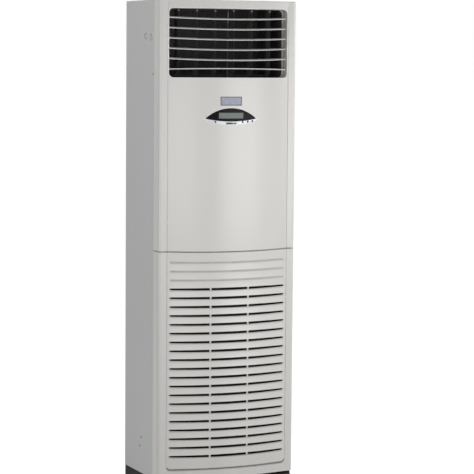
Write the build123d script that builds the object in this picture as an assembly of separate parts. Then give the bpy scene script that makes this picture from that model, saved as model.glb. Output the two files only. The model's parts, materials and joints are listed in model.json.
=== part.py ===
from build123d import *
from math import asin, atan2, cos, degrees, radians, sin, sqrt
import os

# Floor standing air conditioner, millimetres. X to the viewer's right, Y to the rear, Z up.
# The origin is on the floor, below the middle of the case.

# Case
case_width = 540.0
case_depth = 376.0
case_height = 1810.0
plinth_height = 60.0
seam_height = 900.0
seam_gap = 2.0
trim_proud = 1.2
front_bow = 28.0
crease_inset = 33.0
corner_radius = 12.5
wing_depth = 52.0
joint_gap = 0.8
panel_wall = 3.0
sheet = 1.2
flange = 24.0
narrow_flange = 14.0
seat_gap = 0.3
running_gap = 0.05
wing_rib_width = 4.0
wing_rib_reach = 10.0
wing_rib_margin = 20.0

# Foot frame
plinth_inset = 1.0
plinth_wall = 2.0
toe_height = 48.0
toe_setback = 20.0
seat_width = 36.0
anchor_pad = 76.0
anchor_radius = 5.5
anchor_edge = 38.0

# Air outlet
outlet_margin = 38.0
outlet_height = 248.0
outlet_drop = 155.0
outlet_radius = 16.0
collar_wall = 2.5
collar_depth = 50.0
duct_wall = 3.0
duct_depth = 65.0
collar_margin = 20.0

# Blades
blade_count = 6
blade_spacing = 37.0
blade_chord = 20.0
blade_thick = 2.4
blade_tilt = 12.0
last_blade_tilt = -6.0
last_blade_drop = 2.5
blade_end_gap = 3.0
blade_pin_radius = 2.0
blade_pin_setback = 16.0
blade_boss_radius = 4.5
blade_boss_length = 3.0
strut_width = 3.0
strut_depth = 9.0
strut_gap = 1.5

# Vanes
vane_count = 6
vane_edge = 16.0
vane_chord = 42.0
vane_thick = 2.0
vane_setback = 60.0
vane_foot = 14.0
vane_head = 3.0
vane_pin_radius = 2.5
crank_throw = 18.0
crank_pin_radius = 2.0
link_width = 10.0
link_thick = 3.0
link_height = 6.0
link_play = 0.3
swing_motor_radius = 17.0
swing_motor_height = 18.0
swing_shaft_length = 9.0
swing_ear_reach = 8.0
swing_ear_width = 8.0

# Intake grille
slot_count = 20
first_slot = 763.4
slot_spacing = 32.4
slot_height = 7.6
slot_end_inset = 10.0
rib_place = 74.0
rib_width = 7.0
rib_depth = 2.0
louvre_recess = 2.2
louvre_wall = 3.0
groove_width = 3.0
groove_depth = 1.8
top_groove_count = 3
foot_groove_drop = 52.0
grille_pin_radius = 2.0
grille_pin_inset = 65.0
grille_pin_length = 16.0
grille_axis_setback = 10.0
grille_axis_height = 63.0
grille_lug_width = 5.0
grille_ear_width = 5.0
grille_ear_lift = 1.0

# Display group
lens_half = 100.0
lens_tip_drop = 428.0
lens_rise = 38.0
lens_drop = 10.5
lcd_width = 97.0
lcd_height = 21.0
lcd_rise = 11.0
lcd_clearance = 0.5
bezel_half = 116.0
bezel_tip_rise = -1.0
bezel_drop = 24.0
trim_overlap = 5.0
button_places = (-61.0, 46.0, 66.0, 85.0)
button_drops = (11.5, 12.2, 11.0, 9.0)
button_radius = 2.6
power_width = 42.0
power_height = 7.0
power_drop = 17.0
button_gap = 0.25
button_collar = 1.6
button_lip = 1.0
board_setback = 9.2
board_width = 200.0
board_height = 66.0
board_rise = 1.0
board_thick = 1.6
board_screw_edge = 5.0
board_boss_radius = 3.0
badge_width = 84.0
badge_height = 33.0
badge_rise = 63.5
badge_border = 4.0
badge_sink = 0.5
trim_fit = 0.2
glue = 0.05

# Side fittings: places are (behind the crease, below the top) or, at the foot, above the floor
plug_places = ((83.0, 135.0), (140.0, 131.0))
plug_radius = 13.0
plug_lip = 2.0
plug_reach = 3.0
top_screw_place = (61.6, 268.0)
foot_screw_places = ((172.3, 194.0), (187.0, 160.0))
rear_screw_count = 5
rear_screw_low = 60.0
rear_screw_high = 90.0
rear_screw_edge = 8.0
screw_radius = 1.9
screw_head_radius = 4.0
screw_length = 8.0

# Blower
wheel_height = 430.0
wheel_side_room = 140.0
wheel_width = 110.0
wheel_middle = -3.0
wheel_blades = 32
wheel_blade_length = 20.0
wheel_blade_thick = 1.6
wheel_plate = 2.0
wheel_blade_angle = 28.0
wheel_blade_inset = 0.6
hub_radius = 18.0
hub_length = 34.0
shaft_radius = 6.0
shaft_nose = 4.0
shaft_in_motor = 50.0
scroll_clearance = 25.0
scroll_growth = 22.0
scroll_centre = (-8.0, -5.0)
scroll_tongue = 50.0
scroll_wall = 2.0
scroll_side_gap = 9.0
inlet_eye_inset = 30.0
inlet_flange_lap = 2.0
inlet_thick = 1.5
inlet_roll = 8.0
inlet_lip = 2.0
motor_radius = 68.0
motor_length = 84.0
motor_boss_radius = 45.0
motor_boss_length = 8.0
bracket_size = 210.0
bracket_thick = 3.0
bracket_hole = 30.0
deck_drop = 105.0
deck_fold = 20.0
deck_notch = 1.0

# Air filter
filter_side_gap = 17.0
filter_head_room = 23.5
filter_thick = 8.0
filter_border = 14.0
filter_bars = 4
filter_bar = 5.0
mesh_thick = 1.0

# Coil, tilted back, and the pan it stands in
coil_side_room = 55.0
coil_head_room = 74.0
coil_thick = 44.0
coil_top_setback = 78.3
coil_setback = 40.0
coil_lift = 72.0
coil_plate = 1.5
coil_plate_margin = 3.0
bend_count = 11
tube_radius = 4.8
bend_radius = 12.7
pan_rise = 70.0
pan_depth = 52.0
pan_side_room = 28.0
pan_front_gap = 4.0
pan_width = 74.0
pan_wall = 2.0
pan_foot_edge = 40.0
rest_length = 20.0
foam_thick = 8.0
foam_gap = 0.5
foam_lid_gap = 10.8
foam_roof_setback = 47.0

# Pipes
liquid_step = 10
liquid_inset = 92.0
liquid_run = 34.0
liquid_radius = 4.76
liquid_thread = 7.9
suction_step = 8
suction_inset = 48.0
suction_run = 46.0
suction_radius = 7.94
suction_thread = 11.1
pipe_drop_inset = 26.0
pipe_jog_drop = 145.0
pipe_jog_height = 60.0
pipe_height = 172.0
pipe_bend = 22.0
pipe_end_gap = 8.0
pipe_hole_gap = 1.0
union_length = 34.0
union_thread = 16.0
union_hexagon = 1.3
drain_radius = 10.0
drain_bore = 8.0
drain_bend = 30.0
drain_inset = 41.0
drain_pan_inset = 62.0
drain_height = 112.0
spigot_radius = 9.2
spigot_length = 25.0
window_insets = (120.0, 18.0)
window_z = (84.0, 206.0)
cable_hole_inset = 55.0
cable_hole_height = 140.0
cable_hole_radius = 11.0

# Electronics: places are (x, z), sizes are (across, deep, up)
baffle_setback = 38.0
baffle_edge = 5.0
box_width = 240.0
box_height = 300.0
box_depth = 46.0
box_middle = 1110.0
pcb_width = 140.0
pcb_height = 180.0
pcb_place = (-40.0, 1155.0)
pcb_lift = 6.0
pcb_post_radius = 3.0
pcb_screw_edge = 6.0
pcb_parts = (
    (-45.0, 50.0, 24.0, 18.0, 20.0),
    (10.0, 55.0, 36.0, 6.0, 12.0),
    (-40.0, -10.0, 14.0, 22.0, 14.0),
    (-15.0, -10.0, 14.0, 22.0, 14.0),
    (35.0, 0.0, 30.0, 3.0, 30.0),
    (0.0, -65.0, 90.0, 9.0, 8.0),
)
transformer_place = (80.0, 1010.0)
transformer_core = (44.0, 30.0, 52.0)
transformer_coil = (60.0, 24.0, 30.0)
capacitor_place = (82.0, 1130.0)
capacitor_radius = 17.0
capacitor_length = 70.0
terminal_place = (-50.0, 1000.0)
terminal_size = (96.0, 18.0, 26.0)
terminal_ways = 6
terminal_well = 3.0

# Worked out from the sizes above
half_width = case_width / 2
front_y = -case_depth / 2
rear_y = case_depth / 2
crease_half = half_width - crease_inset
crease_y = front_y + front_bow
joint_y = crease_y + wing_depth
bow_radius = (crease_half ** 2 + front_bow ** 2) / (2 * front_bow)
bow_centre = front_y + bow_radius
bow_axis = Axis((0, bow_centre, 0), (0, 0, 1))
side_inner = half_width - sheet
side_front = joint_y + joint_gap
lid_bottom = case_height - sheet

outlet_width = case_width - 2 * outlet_margin
outlet_middle = case_height - outlet_drop
outlet_floor = outlet_middle - outlet_height / 2
outlet_roof = outlet_middle + outlet_height / 2
collar_rear = crease_y + collar_depth
duct_rear = collar_rear + duct_depth
blade_axis_y = crease_y + blade_pin_setback
vane_axis_y = crease_y + vane_setback
vane_spacing = (outlet_width - 2 * vane_edge) / vane_count

slot_half_span = crease_half - slot_end_inset
last_slot = first_slot - (slot_count - 1) * slot_spacing
grille_pin_place = half_width - grille_pin_inset
grille_axis_y = crease_y + grille_axis_setback

lens_tip_height = case_height - lens_tip_drop
lcd_middle = lens_tip_height + lcd_rise
power_middle = lens_tip_height - power_drop
board_middle = lens_tip_height + board_rise
badge_middle = lens_tip_height + badge_rise
button_heights = [lens_tip_height - drop for drop in button_drops]
board_y = front_y + panel_wall + board_setback

plug_centres = [(place, case_height - drop) for place, drop in plug_places]
screw_centres = [(top_screw_place[0], case_height - top_screw_place[1]), *foot_screw_places]
rear_screw_foot = plinth_height + rear_screw_low
rear_screw_step = (case_height - rear_screw_high - rear_screw_foot) / (rear_screw_count - 1)
rear_screw_heights = [rear_screw_foot + i * rear_screw_step for i in range(rear_screw_count)]

deck_height = seam_height - deck_drop
wheel_radius = half_width - wheel_side_room
scroll_start = wheel_radius + scroll_clearance
inlet_radius = wheel_radius - inlet_eye_inset
inlet_flange = wheel_radius + inlet_flange_lap
filter_width = case_width - 2 * filter_side_gap
filter_height = deck_height - plinth_height - filter_head_room

baffle_y = crease_y + baffle_setback
deck_top = deck_height + sheet
coil_width = case_width - 2 * coil_side_room
coil_foot = (baffle_y + coil_setback, deck_height + coil_lift)
coil_rise = outlet_floor - coil_head_room - coil_foot[1]
coil_lean = rear_y - coil_top_setback - coil_foot[0]
coil_tilt = degrees(atan2(coil_lean, coil_rise))
coil_length = sqrt(coil_rise ** 2 + coil_lean ** 2)
pan_rim = deck_height + pan_rise
pan_floor = pan_rim - pan_depth
pan_length = case_width - 2 * pan_side_room
pan_span = (baffle_y + pan_front_gap, baffle_y + pan_front_gap + pan_width)
foam_top = lid_bottom - foam_lid_gap
foam_roof_front = baffle_y + foam_roof_setback

union_front = rear_y - pipe_end_gap - union_length
liquid_place = half_width - liquid_inset
suction_place = half_width - suction_inset
pipe_drop_place = half_width - pipe_drop_inset
pipe_jog_top = deck_height - pipe_jog_drop
drain_place = half_width - drain_inset
drain_y = pan_span[0] + drain_pan_inset
window_x = (half_width - window_insets[0], half_width - window_insets[1])
cable_hole_place = cable_hole_inset - half_width

os.makedirs("parts", exist_ok=True)


def save(name, shape):
    export_step(shape, f"parts/{name}.step")


def block(x, y, z):
    """A box from its spans along X, Y and Z."""
    middle = [(low + high) / 2 for low, high in (x, y, z)]
    return Pos(*middle) * Box(x[1] - x[0], y[1] - y[0], z[1] - z[0])


def rod_x(start, end, radius, y, z):
    return Pos((start + end) / 2, y, z) * Rot(0, 90, 0) * Cylinder(radius, abs(end - start))


def rod_y(start, end, radius, x, z):
    return Pos(x, (start + end) / 2, z) * Rot(90, 0, 0) * Cylinder(radius, abs(end - start))


def rod_z(start, end, radius, x, y):
    return Pos(x, y, (start + end) / 2) * Cylinder(radius, abs(end - start))


def upright(sketch, y, z):
    """Stand a sketch up at height z and give it the depth span y."""
    solid = extrude(sketch, (y[1] - y[0]) / 2, both=True)
    return Pos(0, (y[0] + y[1]) / 2, z) * Rot(90, 0, 0) * solid


def joined(shapes):
    """Separate solids kept as one group."""
    return Compound(children=list(shapes))


def front_plan(inset, back):
    """Plan of the front: two wings, rounded corners, flat strips and the bow between creases."""
    side = half_width - inset
    strip = crease_y + inset
    radius = corner_radius - inset
    bend = radius * (1 - cos(radians(45)))
    crease = sqrt((bow_radius - inset) ** 2 - (bow_centre - strip) ** 2)
    edges = [ThreePointArc((-crease, strip), (0, front_y + inset), (crease, strip))]
    for s in (-1, 1):
        edges.append(Line((s * side, back), (s * side, strip + radius)))
        edges.append(
            ThreePointArc(
                (s * side, strip + radius),
                (s * (side - bend), strip + bend),
                (s * (side - radius), strip),
            )
        )
        edges.append(Line((s * (side - radius), strip), (s * crease, strip)))
    edges.append(Line((-side, back), (side, back)))
    return make_face(edges)


def front_shell(z, wall, back):
    """Upright C-shaped moulding, open to the rear."""
    height = z[1] - z[0]
    outer = extrude(front_plan(0, back), height)
    inner = extrude(front_plan(wall, back + wall), height)
    return Pos(0, 0, z[0]) * (outer - inner)


def bowed(points, half_span):
    """A section (depth behind the bow, height) turned about the bow's own axis."""
    corners = [(0, front_y + depth, height) for depth, height in points]
    turn = degrees(asin(half_span / bow_radius))
    section = make_face(Polyline(*corners, close=True)).rotate(bow_axis, -turn)
    return revolve(section, bow_axis, 2 * turn)


def bowed_plate(near, far, z, half_span):
    """Curved plate between two depths behind the bow's surface."""
    return bowed([(near, z[0]), (far, z[0]), (far, z[1]), (near, z[1])], half_span)


def at_bow(x):
    """Y of the bow's outer surface at x."""
    return bow_centre - sqrt(bow_radius ** 2 - x ** 2)


# ---------------------------------------------------------------- case


def base_plinth():
    toe = extrude(front_plan(plinth_inset, rear_y - plinth_inset), toe_height)
    hollow = front_plan(plinth_inset + plinth_wall, rear_y - plinth_inset - plinth_wall)
    toe -= extrude(hollow, toe_height - plinth_wall)
    side = half_width - plinth_inset
    front = crease_y + toe_setback
    back = rear_y - plinth_inset
    neck = block((-side, side), (front, back), (toe_height, plinth_height))
    wall_side = side - plinth_wall
    neck -= block(
        (-wall_side, wall_side),
        (front + plinth_wall, back - plinth_wall),
        (toe_height, plinth_height - plinth_wall),
    )
    neck -= block(
        (-side + seat_width, side - seat_width),
        (front + seat_width, back - seat_width),
        (toe_height, plinth_height),
    )
    frame = toe + neck
    pin_gap = grille_pin_radius + running_gap
    for s in (-1, 1):
        inner = s * (grille_pin_place - grille_lug_width / 2)
        outer = s * (grille_pin_place + grille_lug_width / 2)
        lug = block(
            (min(inner, outer), max(inner, outer)),
            (grille_axis_y - 2 * grille_pin_radius, front),
            (toe_height, grille_axis_height + 2 * grille_pin_radius),
        )
        frame += lug - rod_x(inner - s, outer + s, pin_gap, grille_axis_y, grille_axis_height)
        for y in (crease_y + anchor_edge, back - anchor_edge):
            x = s * (side - anchor_edge)
            half = anchor_pad / 2
            pad = block((x - half, x + half), (y - half, y + half), (0, plinth_wall))
            pad &= extrude(front_plan(plinth_inset, back), plinth_wall)
            frame += pad
            frame -= rod_z(-1, plinth_wall + 1, anchor_radius, x, y)
    return frame


def side_panel(s):
    """Sheet steel side and its four folded edges; s is -1 for left and 1 for right.

    The folds are solids of their own, face to face with the sheet, so that collision
    stays open between them.
    """
    def span(near, far):
        return (min(s * near, s * far), max(s * near, s * far))

    back = rear_y - sheet
    z = (plinth_height, lid_bottom)
    panel = block(span(side_inner, half_width), (side_front, back), z)
    for place, height in plug_centres:
        panel -= rod_x(s * (side_inner - 1), s * (half_width + 1), plug_radius,
                       crease_y + place, height)
    hole = screw_radius + seat_gap
    for place, height in screw_centres:
        panel -= rod_x(s * (side_inner - 1), s * (half_width + 1), hole,
                       crease_y + place, height)
    wide = span(half_width - flange, side_inner)
    narrow = span(half_width - narrow_flange, side_inner)
    folds = [block(wide, (side_front, side_front + sheet), z)]
    rear_fold = block(narrow, (back - sheet, back), z)
    for height in rear_screw_heights:
        rear_fold -= rod_y(back - sheet - 1, back + 1, hole, s * (half_width - rear_screw_edge),
                           height)
    folds.append(rear_fold)
    for low in (z[0], z[1] - sheet):
        folds.append(block(narrow, (side_front + sheet, back - sheet), (low, low + sheet)))
    return joined([panel, *folds])


def rear_panel():
    panel = block((-half_width, half_width), (rear_y - sheet, rear_y), (plinth_height, lid_bottom))
    panel -= block(window_x, (rear_y - 2 * sheet, rear_y + 1), window_z)
    panel -= rod_y(rear_y - 2 * sheet, rear_y + 1, cable_hole_radius,
                   cable_hole_place, cable_hole_height)
    for s in (-1, 1):
        for height in rear_screw_heights:
            panel -= rod_y(rear_y - 2 * sheet, rear_y + 1, screw_radius + seat_gap,
                           s * (half_width - rear_screw_edge), height)
    return panel


def top_cover():
    return block((-half_width, half_width), (side_front, rear_y), (lid_bottom, case_height))


def wing_ribs(z):
    """Ribs inside the wings that stand against the side panels' front flanges."""
    ribs = []
    for s in (-1, 1):
        x = (s * (half_width - panel_wall - wing_rib_width), s * (half_width - panel_wall))
        ribs.append(block((min(x), max(x)), (joint_y - wing_rib_reach, side_front), z))
    return ribs


def front_panel():
    z = (seam_height + seam_gap / 2, case_height)
    panel = front_shell(z, panel_wall, joint_y)
    lid = Pos(0, 0, case_height - panel_wall) * extrude(front_plan(0, joint_y), panel_wall)
    panel += lid
    for rib in wing_ribs((z[0] + wing_rib_margin, lid_bottom - wing_rib_margin)):
        panel += rib
    opening = RectangleRounded(outlet_width, outlet_height, outlet_radius)
    rim = RectangleRounded(
        outlet_width + 2 * collar_wall,
        outlet_height + 2 * collar_wall,
        outlet_radius + collar_wall,
    )
    collar = upright(rim, (front_y, collar_rear), outlet_middle)
    reach_down = Pos(0, 0, outlet_floor - collar_margin)
    collar &= reach_down * extrude(front_plan(0, joint_y), outlet_height + 2 * collar_margin)
    panel += collar
    panel -= upright(opening, (front_y - 1, collar_rear + 1), outlet_middle)
    reach = outlet_width / 2 + collar_wall
    for index in range(blade_count):
        panel -= rod_x(-reach - 1, reach + 1, blade_pin_radius + running_gap,
                       blade_axis_y, blade_height(index))
    # openings behind the display, and bosses that carry its board
    window = Rectangle(lcd_width + 2 * lcd_clearance, lcd_height + 2 * lcd_clearance)
    panel -= upright(window, (front_y - 1, crease_y), lcd_middle)
    for x, height in zip(button_places, button_heights):
        panel -= rod_y(front_y - 1, board_y, button_radius + button_gap, x, height)
    slot = RectangleRounded(power_width + 2 * button_gap, power_height + 2 * button_gap,
                            power_height / 2)
    panel -= upright(slot, (front_y - 1, board_y), power_middle)
    for s in (-1, 1):
        for t in (-1, 1):
            x = s * (board_width / 2 - board_screw_edge)
            height = board_middle + t * (board_height / 2 - board_screw_edge)
            panel += rod_y(at_bow(x) + panel_wall / 2, board_y, board_boss_radius, x, height)
    return panel


def slat_section(top, bottom):
    """Slat leaning out at its foot: (depth, height) corners."""
    return [
        (louvre_recess, top),
        (louvre_recess + louvre_wall, top),
        (louvre_wall, bottom),
        (0, bottom),
    ]


def intake_grille():
    z = (plinth_height, seam_height - seam_gap / 2)
    panel = front_shell(z, panel_wall, joint_y)
    half_slot = slot_height / 2
    low = last_slot - half_slot
    high = first_slot + half_slot
    field = Rectangle(2 * slot_half_span, high - low)
    panel -= upright(field, (front_y - 1, crease_y + panel_wall + 1), (low + high) / 2)
    for index in range(slot_count - 1):
        top = first_slot - index * slot_spacing - half_slot
        bottom = top - slot_spacing + slot_height
        panel += bowed(slat_section(top, bottom), slot_half_span + 1)
    for s in (-1, 1):
        rib = Rectangle(rib_width, high - low + 2)
        bar = bowed_plate(louvre_recess, louvre_wall + louvre_recess + rib_depth,
                          (low - 1, high + 1), slot_half_span)
        panel += bar & (Pos(s * rib_place, 0, 0) * upright(rib, (front_y, crease_y),
                                                           (low + high) / 2))
    grooves = [first_slot + (index + 1) * slot_spacing for index in range(top_groove_count)]
    grooves.append(last_slot - foot_groove_drop)
    for height in grooves:
        panel -= bowed_plate(-1, groove_depth,
                             (height - groove_width / 2, height + groove_width / 2),
                             slot_half_span)
    for rib in wing_ribs((z[0] + wing_rib_margin, z[1] - wing_rib_margin)):
        panel += Pos(0, -seat_gap, 0) * rib
    # pivot pins on two ears inside the foot
    for s in (-1, 1):
        start = s * (grille_pin_place - grille_lug_width)
        end = start + s * grille_pin_length
        ear = (end - s * grille_ear_width, end)
        panel += rod_x(start, end, grille_pin_radius, grille_axis_y, grille_axis_height)
        panel += block(
            (min(ear), max(ear)),
            (at_bow(end) + panel_wall / 2, grille_axis_y + grille_pin_radius),
            (plinth_height + grille_ear_lift, grille_axis_height + 2 * grille_pin_radius),
        )
    return panel


# ---------------------------------------------------------------- outlet


def blade_height(index):
    height = outlet_middle + ((blade_count - 1) / 2 - index) * blade_spacing
    return height - last_blade_drop if index == blade_count - 1 else height


def louver_blade(index):
    """Bowed blade lying flat on its pin axis, then tilted about it."""
    half = outlet_width / 2 - blade_end_gap
    arch = bow_radius - sqrt(bow_radius ** 2 - half ** 2)
    edges = []
    for side in (-1, 1):
        y = side * blade_chord / 2
        edges.append(ThreePointArc((-half, y), (0, y - arch), (half, y)))
        edges.append(Line((side * half, -blade_chord / 2), (side * half, blade_chord / 2)))
    blade = extrude(make_face(edges), blade_thick / 2, both=True)
    for s in (-1, 1):
        blade += rod_x(s * (half - blade_boss_length), s * half, blade_boss_radius, 0, 0)
        blade += rod_x(s * half, s * (outlet_width / 2 + collar_wall), blade_pin_radius, 0, 0)
    tilt = last_blade_tilt if index == blade_count - 1 else blade_tilt
    return Pos(0, blade_axis_y, blade_height(index)) * Rot(tilt, 0, 0) * blade


def louver_strut():
    front = blade_axis_y - strut_depth + strut_gap
    return block((-strut_width / 2, strut_width / 2), (front, front + strut_depth),
                 (outlet_floor, outlet_roof))


def outlet_duct():
    outer = RectangleRounded(outlet_width + 2 * duct_wall, outlet_height + 2 * duct_wall,
                             outlet_radius + duct_wall)
    duct = upright(outer, (collar_rear, duct_rear), outlet_middle)
    inner = RectangleRounded(outlet_width, outlet_height, outlet_radius)
    duct -= upright(inner, (collar_rear - 1, duct_rear + 1), outlet_middle)
    for index in range(vane_count):
        duct -= rod_z(outlet_floor - duct_wall - 1, outlet_roof + duct_wall + 1,
                      vane_pin_radius + running_gap, vane_place(index), vane_axis_y)
    return duct


def vane_place(index):
    return (index - (vane_count - 1) / 2) * vane_spacing


def air_vane(index):
    x = vane_place(index)
    low = outlet_floor + vane_foot
    high = outlet_roof - vane_head
    front = vane_axis_y - vane_chord / 2
    vane = block((x - vane_thick / 2, x + vane_thick / 2), (front, front + vane_chord), (low, high))
    vane += rod_z(low, high, vane_pin_radius, x, vane_axis_y)
    top = outlet_roof + duct_wall
    if index == 0:
        top += swing_shaft_length
    vane += rod_z(high, top, vane_pin_radius, x, vane_axis_y)
    vane += rod_z(outlet_floor - duct_wall, low, vane_pin_radius, x, vane_axis_y)
    crank_y = vane_axis_y + crank_throw
    link_floor = outlet_floor + link_height
    vane += rod_z(link_floor - 1, low, crank_pin_radius, x, crank_y)
    return vane


def vane_link_bar():
    reach = vane_place(vane_count - 1) + link_width
    y = vane_axis_y + crank_throw
    low = outlet_floor + link_height
    bar = block((-reach, reach), (y - link_width / 2, y + link_width / 2), (low, low + link_thick))
    for index in range(vane_count):
        play = running_gap if index == 0 else link_play
        bar -= rod_z(low - 1, low + link_thick + 1, crank_pin_radius + play, vane_place(index), y)
    return bar


def swing_motor():
    low = outlet_roof + duct_wall
    x = vane_place(0)
    motor = rod_z(low, low + swing_motor_height, swing_motor_radius, x, vane_axis_y)
    ear = swing_motor_radius + swing_ear_reach
    half = swing_ear_width / 2
    motor += block((x - ear, x + ear), (vane_axis_y - half, vane_axis_y + half),
                   (low, low + sheet))
    return motor - rod_z(low - 1, low + swing_shaft_length + seat_gap,
                         vane_pin_radius + running_gap, x, vane_axis_y)


# ---------------------------------------------------------------- display


def almond(half, tip, rise, drop):
    """Sketch with two tips joined by arcs above and below."""
    edges = [
        ThreePointArc((-half, tip), (0, tip + rise), (half, tip)),
        ThreePointArc((-half, tip), (0, tip - drop), (half, tip)),
    ]
    return make_face(edges)


def on_bow(sketch, near, far, half_span):
    """A flat sketch projected on the bow, as a plate between two depths."""
    z = (seam_height, case_height)
    plate = bowed_plate(near, far, z, half_span)
    return plate & upright(sketch, (front_y - 2 * trim_proud, crease_y), 0)


def placed(sketch, height):
    return Pos(0, height) * sketch


def display_lens():
    lens = on_bow(almond(lens_half, lens_tip_height, lens_rise, lens_drop), -trim_proud, -glue,
                  lens_half + trim_overlap)
    window = placed(Rectangle(lcd_width, lcd_height), lcd_middle)
    return lens - upright(window, (front_y - trim_overlap, crease_y), 0)


def lcd_panel():
    window = placed(Rectangle(lcd_width - 2 * trim_fit, lcd_height - 2 * trim_fit), lcd_middle)
    face = on_bow(window, -trim_proud / 2, panel_wall, lens_half)
    return face + upright(window, (front_y + panel_wall, board_y), 0)


def display_board():
    return block((-board_width / 2, board_width / 2), (board_y, board_y + board_thick),
                 (board_middle - board_height / 2, board_middle + board_height / 2))


def display_bezel():
    middle = lens_tip_height + bezel_tip_rise
    crescent = almond(bezel_half, middle, lens_rise / 4, bezel_drop + bezel_tip_rise)
    lens = almond(lens_half + trim_fit, lens_tip_height, lens_rise + trim_fit,
                  lens_drop + trim_fit)
    bezel = on_bow(crescent, -trim_proud / 2, -glue, bezel_half + trim_overlap)
    bezel -= upright(lens, (front_y - trim_overlap, crease_y), 0)
    for x, height in zip(button_places, button_heights):
        bezel -= rod_y(front_y - trim_overlap, crease_y, button_radius + button_gap, x, height)
    slot = RectangleRounded(power_width + 2 * button_gap, power_height + 2 * button_gap,
                            power_height / 2)
    return bezel - upright(placed(slot, power_middle), (front_y - trim_overlap, crease_y), 0)


def control_button(index):
    x = button_places[index]
    height = button_heights[index]
    back = at_bow(x) + panel_wall + button_lip + 2 * seat_gap
    button = rod_y(at_bow(x) - trim_proud, back, button_radius, x, height)
    return button + rod_y(back - button_lip, back, button_radius + button_collar, x, height)


def power_button():
    back = front_y + panel_wall + button_lip + seat_gap
    cap = placed(RectangleRounded(power_width, power_height, power_height / 2 - 0.1), power_middle)
    button = on_bow(cap, -trim_proud, panel_wall, power_width)
    button += upright(cap, (front_y + panel_wall, back), 0)
    lip = placed(Rectangle(power_width + 2 * button_collar, power_height), power_middle)
    return button + upright(lip, (back - button_lip, back), 0)


def badge_frame():
    plate = placed(RectangleRounded(badge_width, badge_height, 2), badge_middle)
    inner = placed(RectangleRounded(badge_width - 2 * badge_border,
                                    badge_height - 2 * badge_border, 1), badge_middle)
    frame = on_bow(plate, -trim_proud, -glue, badge_width)
    return frame - upright(inner, (front_y - trim_overlap, crease_y), 0)


def badge_inlay():
    inner = placed(
        RectangleRounded(badge_width - 2 * badge_border - 2 * trim_fit,
                         badge_height - 2 * badge_border - 2 * trim_fit, 0.8),
        badge_middle,
    )
    return on_bow(inner, -trim_proud + badge_sink, -glue, badge_width)


# ---------------------------------------------------------------- fittings


def hole_plugs():
    plugs = []
    for s in (-1, 1):
        for place, height in plug_centres:
            y = crease_y + place
            inner = s * (side_inner - plug_reach)
            plug = rod_x(inner, s * half_width, plug_radius - seat_gap, y, height)
            plug += rod_x(s * half_width, s * (half_width + trim_proud), plug_radius + plug_lip,
                          y, height)
            plugs.append(plug)
    return joined(plugs)


def casing_screws():
    screws = []
    for s in (-1, 1):
        for place, height in screw_centres:
            y = crease_y + place
            shank = rod_x(s * (half_width - screw_length), s * half_width, screw_radius, y, height)
            head = rod_x(s * half_width, s * (half_width + trim_proud), screw_head_radius, y, height)
            screws.append(shank + head)
        for height in rear_screw_heights:
            x = s * (half_width - rear_screw_edge)
            shank = rod_y(rear_y - screw_length, rear_y, screw_radius, x, height)
            head = rod_y(rear_y, rear_y + trim_proud, screw_head_radius, x, height)
            screws.append(shank + head)
    return joined(screws)


# ---------------------------------------------------------------- blower


def scroll_span():
    half = wheel_width / 2 + scroll_side_gap
    return (wheel_middle - half, wheel_middle + half)


def scroll_plan(inset):
    """Volute outline: four tangent arcs that grow, with the outlet straight up at the right."""
    x, z = scroll_centre
    z += wheel_height
    r1 = scroll_start - inset
    r2 = r1 + scroll_growth
    r3 = r2 + scroll_growth
    top = deck_height
    tongue = (x + r1 * cos(radians(scroll_tongue)), z + r1 * sin(radians(scroll_tongue)))
    half_turn = radians(45)

    def point(cx, cz, r, angle):
        return (cx + r * cos(angle), cz + r * sin(angle))

    c2 = (x + scroll_growth, z)
    c3 = (c2[0], z + scroll_growth)
    inner_tongue = (x + scroll_start * cos(radians(scroll_tongue)) + inset, tongue[1])
    edges = [
        ThreePointArc(tongue, point(x, z, r1, radians(90 + scroll_tongue) / 2), (x, z + r1)),
        ThreePointArc((x, z + r1), point(x, z, r1, 3 * half_turn), (x - r1, z)),
        ThreePointArc((x - r1, z), point(*c2, r2, 5 * half_turn), (c2[0], z - r2)),
        ThreePointArc((c2[0], z - r2), point(*c3, r3, 7 * half_turn), (c3[0] + r3, c3[1])),
        Line((c3[0] + r3, c3[1]), (c3[0] + r3, top)),
        Line((c3[0] + r3, top), (inner_tongue[0], top)),
        Line((inner_tongue[0], top), inner_tongue),
    ]
    if inset:
        edges.append(Line(inner_tongue, tongue))
    return make_face(edges)


def scroll_housing():
    """Spiral wrap between two side plates, the front one with the eye."""
    y = scroll_span()
    wrap = upright(scroll_plan(0), y, 0) - upright(scroll_plan(scroll_wall), y, 0)
    front = upright(scroll_plan(0), (y[0] - scroll_wall, y[0]), 0)
    eye = inlet_radius + inlet_roll + inlet_thick + seat_gap
    front -= rod_y(y[0] - 2 * scroll_wall, y[0] + 1, eye, 0, wheel_height)
    back = upright(scroll_plan(0), (y[1], y[1] + scroll_wall), 0)
    back -= rod_y(y[1] - 1, y[1] + 2 * scroll_wall, hub_radius, 0, wheel_height)
    return joined([wrap, front, back])


def discharge_span():
    x = scroll_centre[0]
    tongue = x + scroll_start * cos(radians(scroll_tongue)) + scroll_wall
    right = x + scroll_start + 3 * scroll_growth - scroll_wall
    return (tongue, right)


def inlet_ring():
    """Bell mouth: flat flange that rolls into the wheel's eye."""
    y = scroll_span()[0] - scroll_wall
    points = [
        (inlet_flange, y),
        (inlet_flange, y - inlet_thick),
        (inlet_radius + inlet_roll, y - inlet_thick),
        (inlet_radius, y + inlet_roll - inlet_lip),
        (inlet_radius, y + inlet_roll),
        (inlet_radius + inlet_thick, y + inlet_roll),
        (inlet_radius + inlet_thick, y + inlet_roll - inlet_lip),
        (inlet_radius + inlet_roll + inlet_thick / 2, y),
    ]
    corners = [(radius, depth_y, 0) for radius, depth_y in points]
    ring = revolve(make_face(Polyline(*corners, close=True)), Axis.Y, 360)
    return Pos(0, 0, wheel_height) * ring


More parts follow.
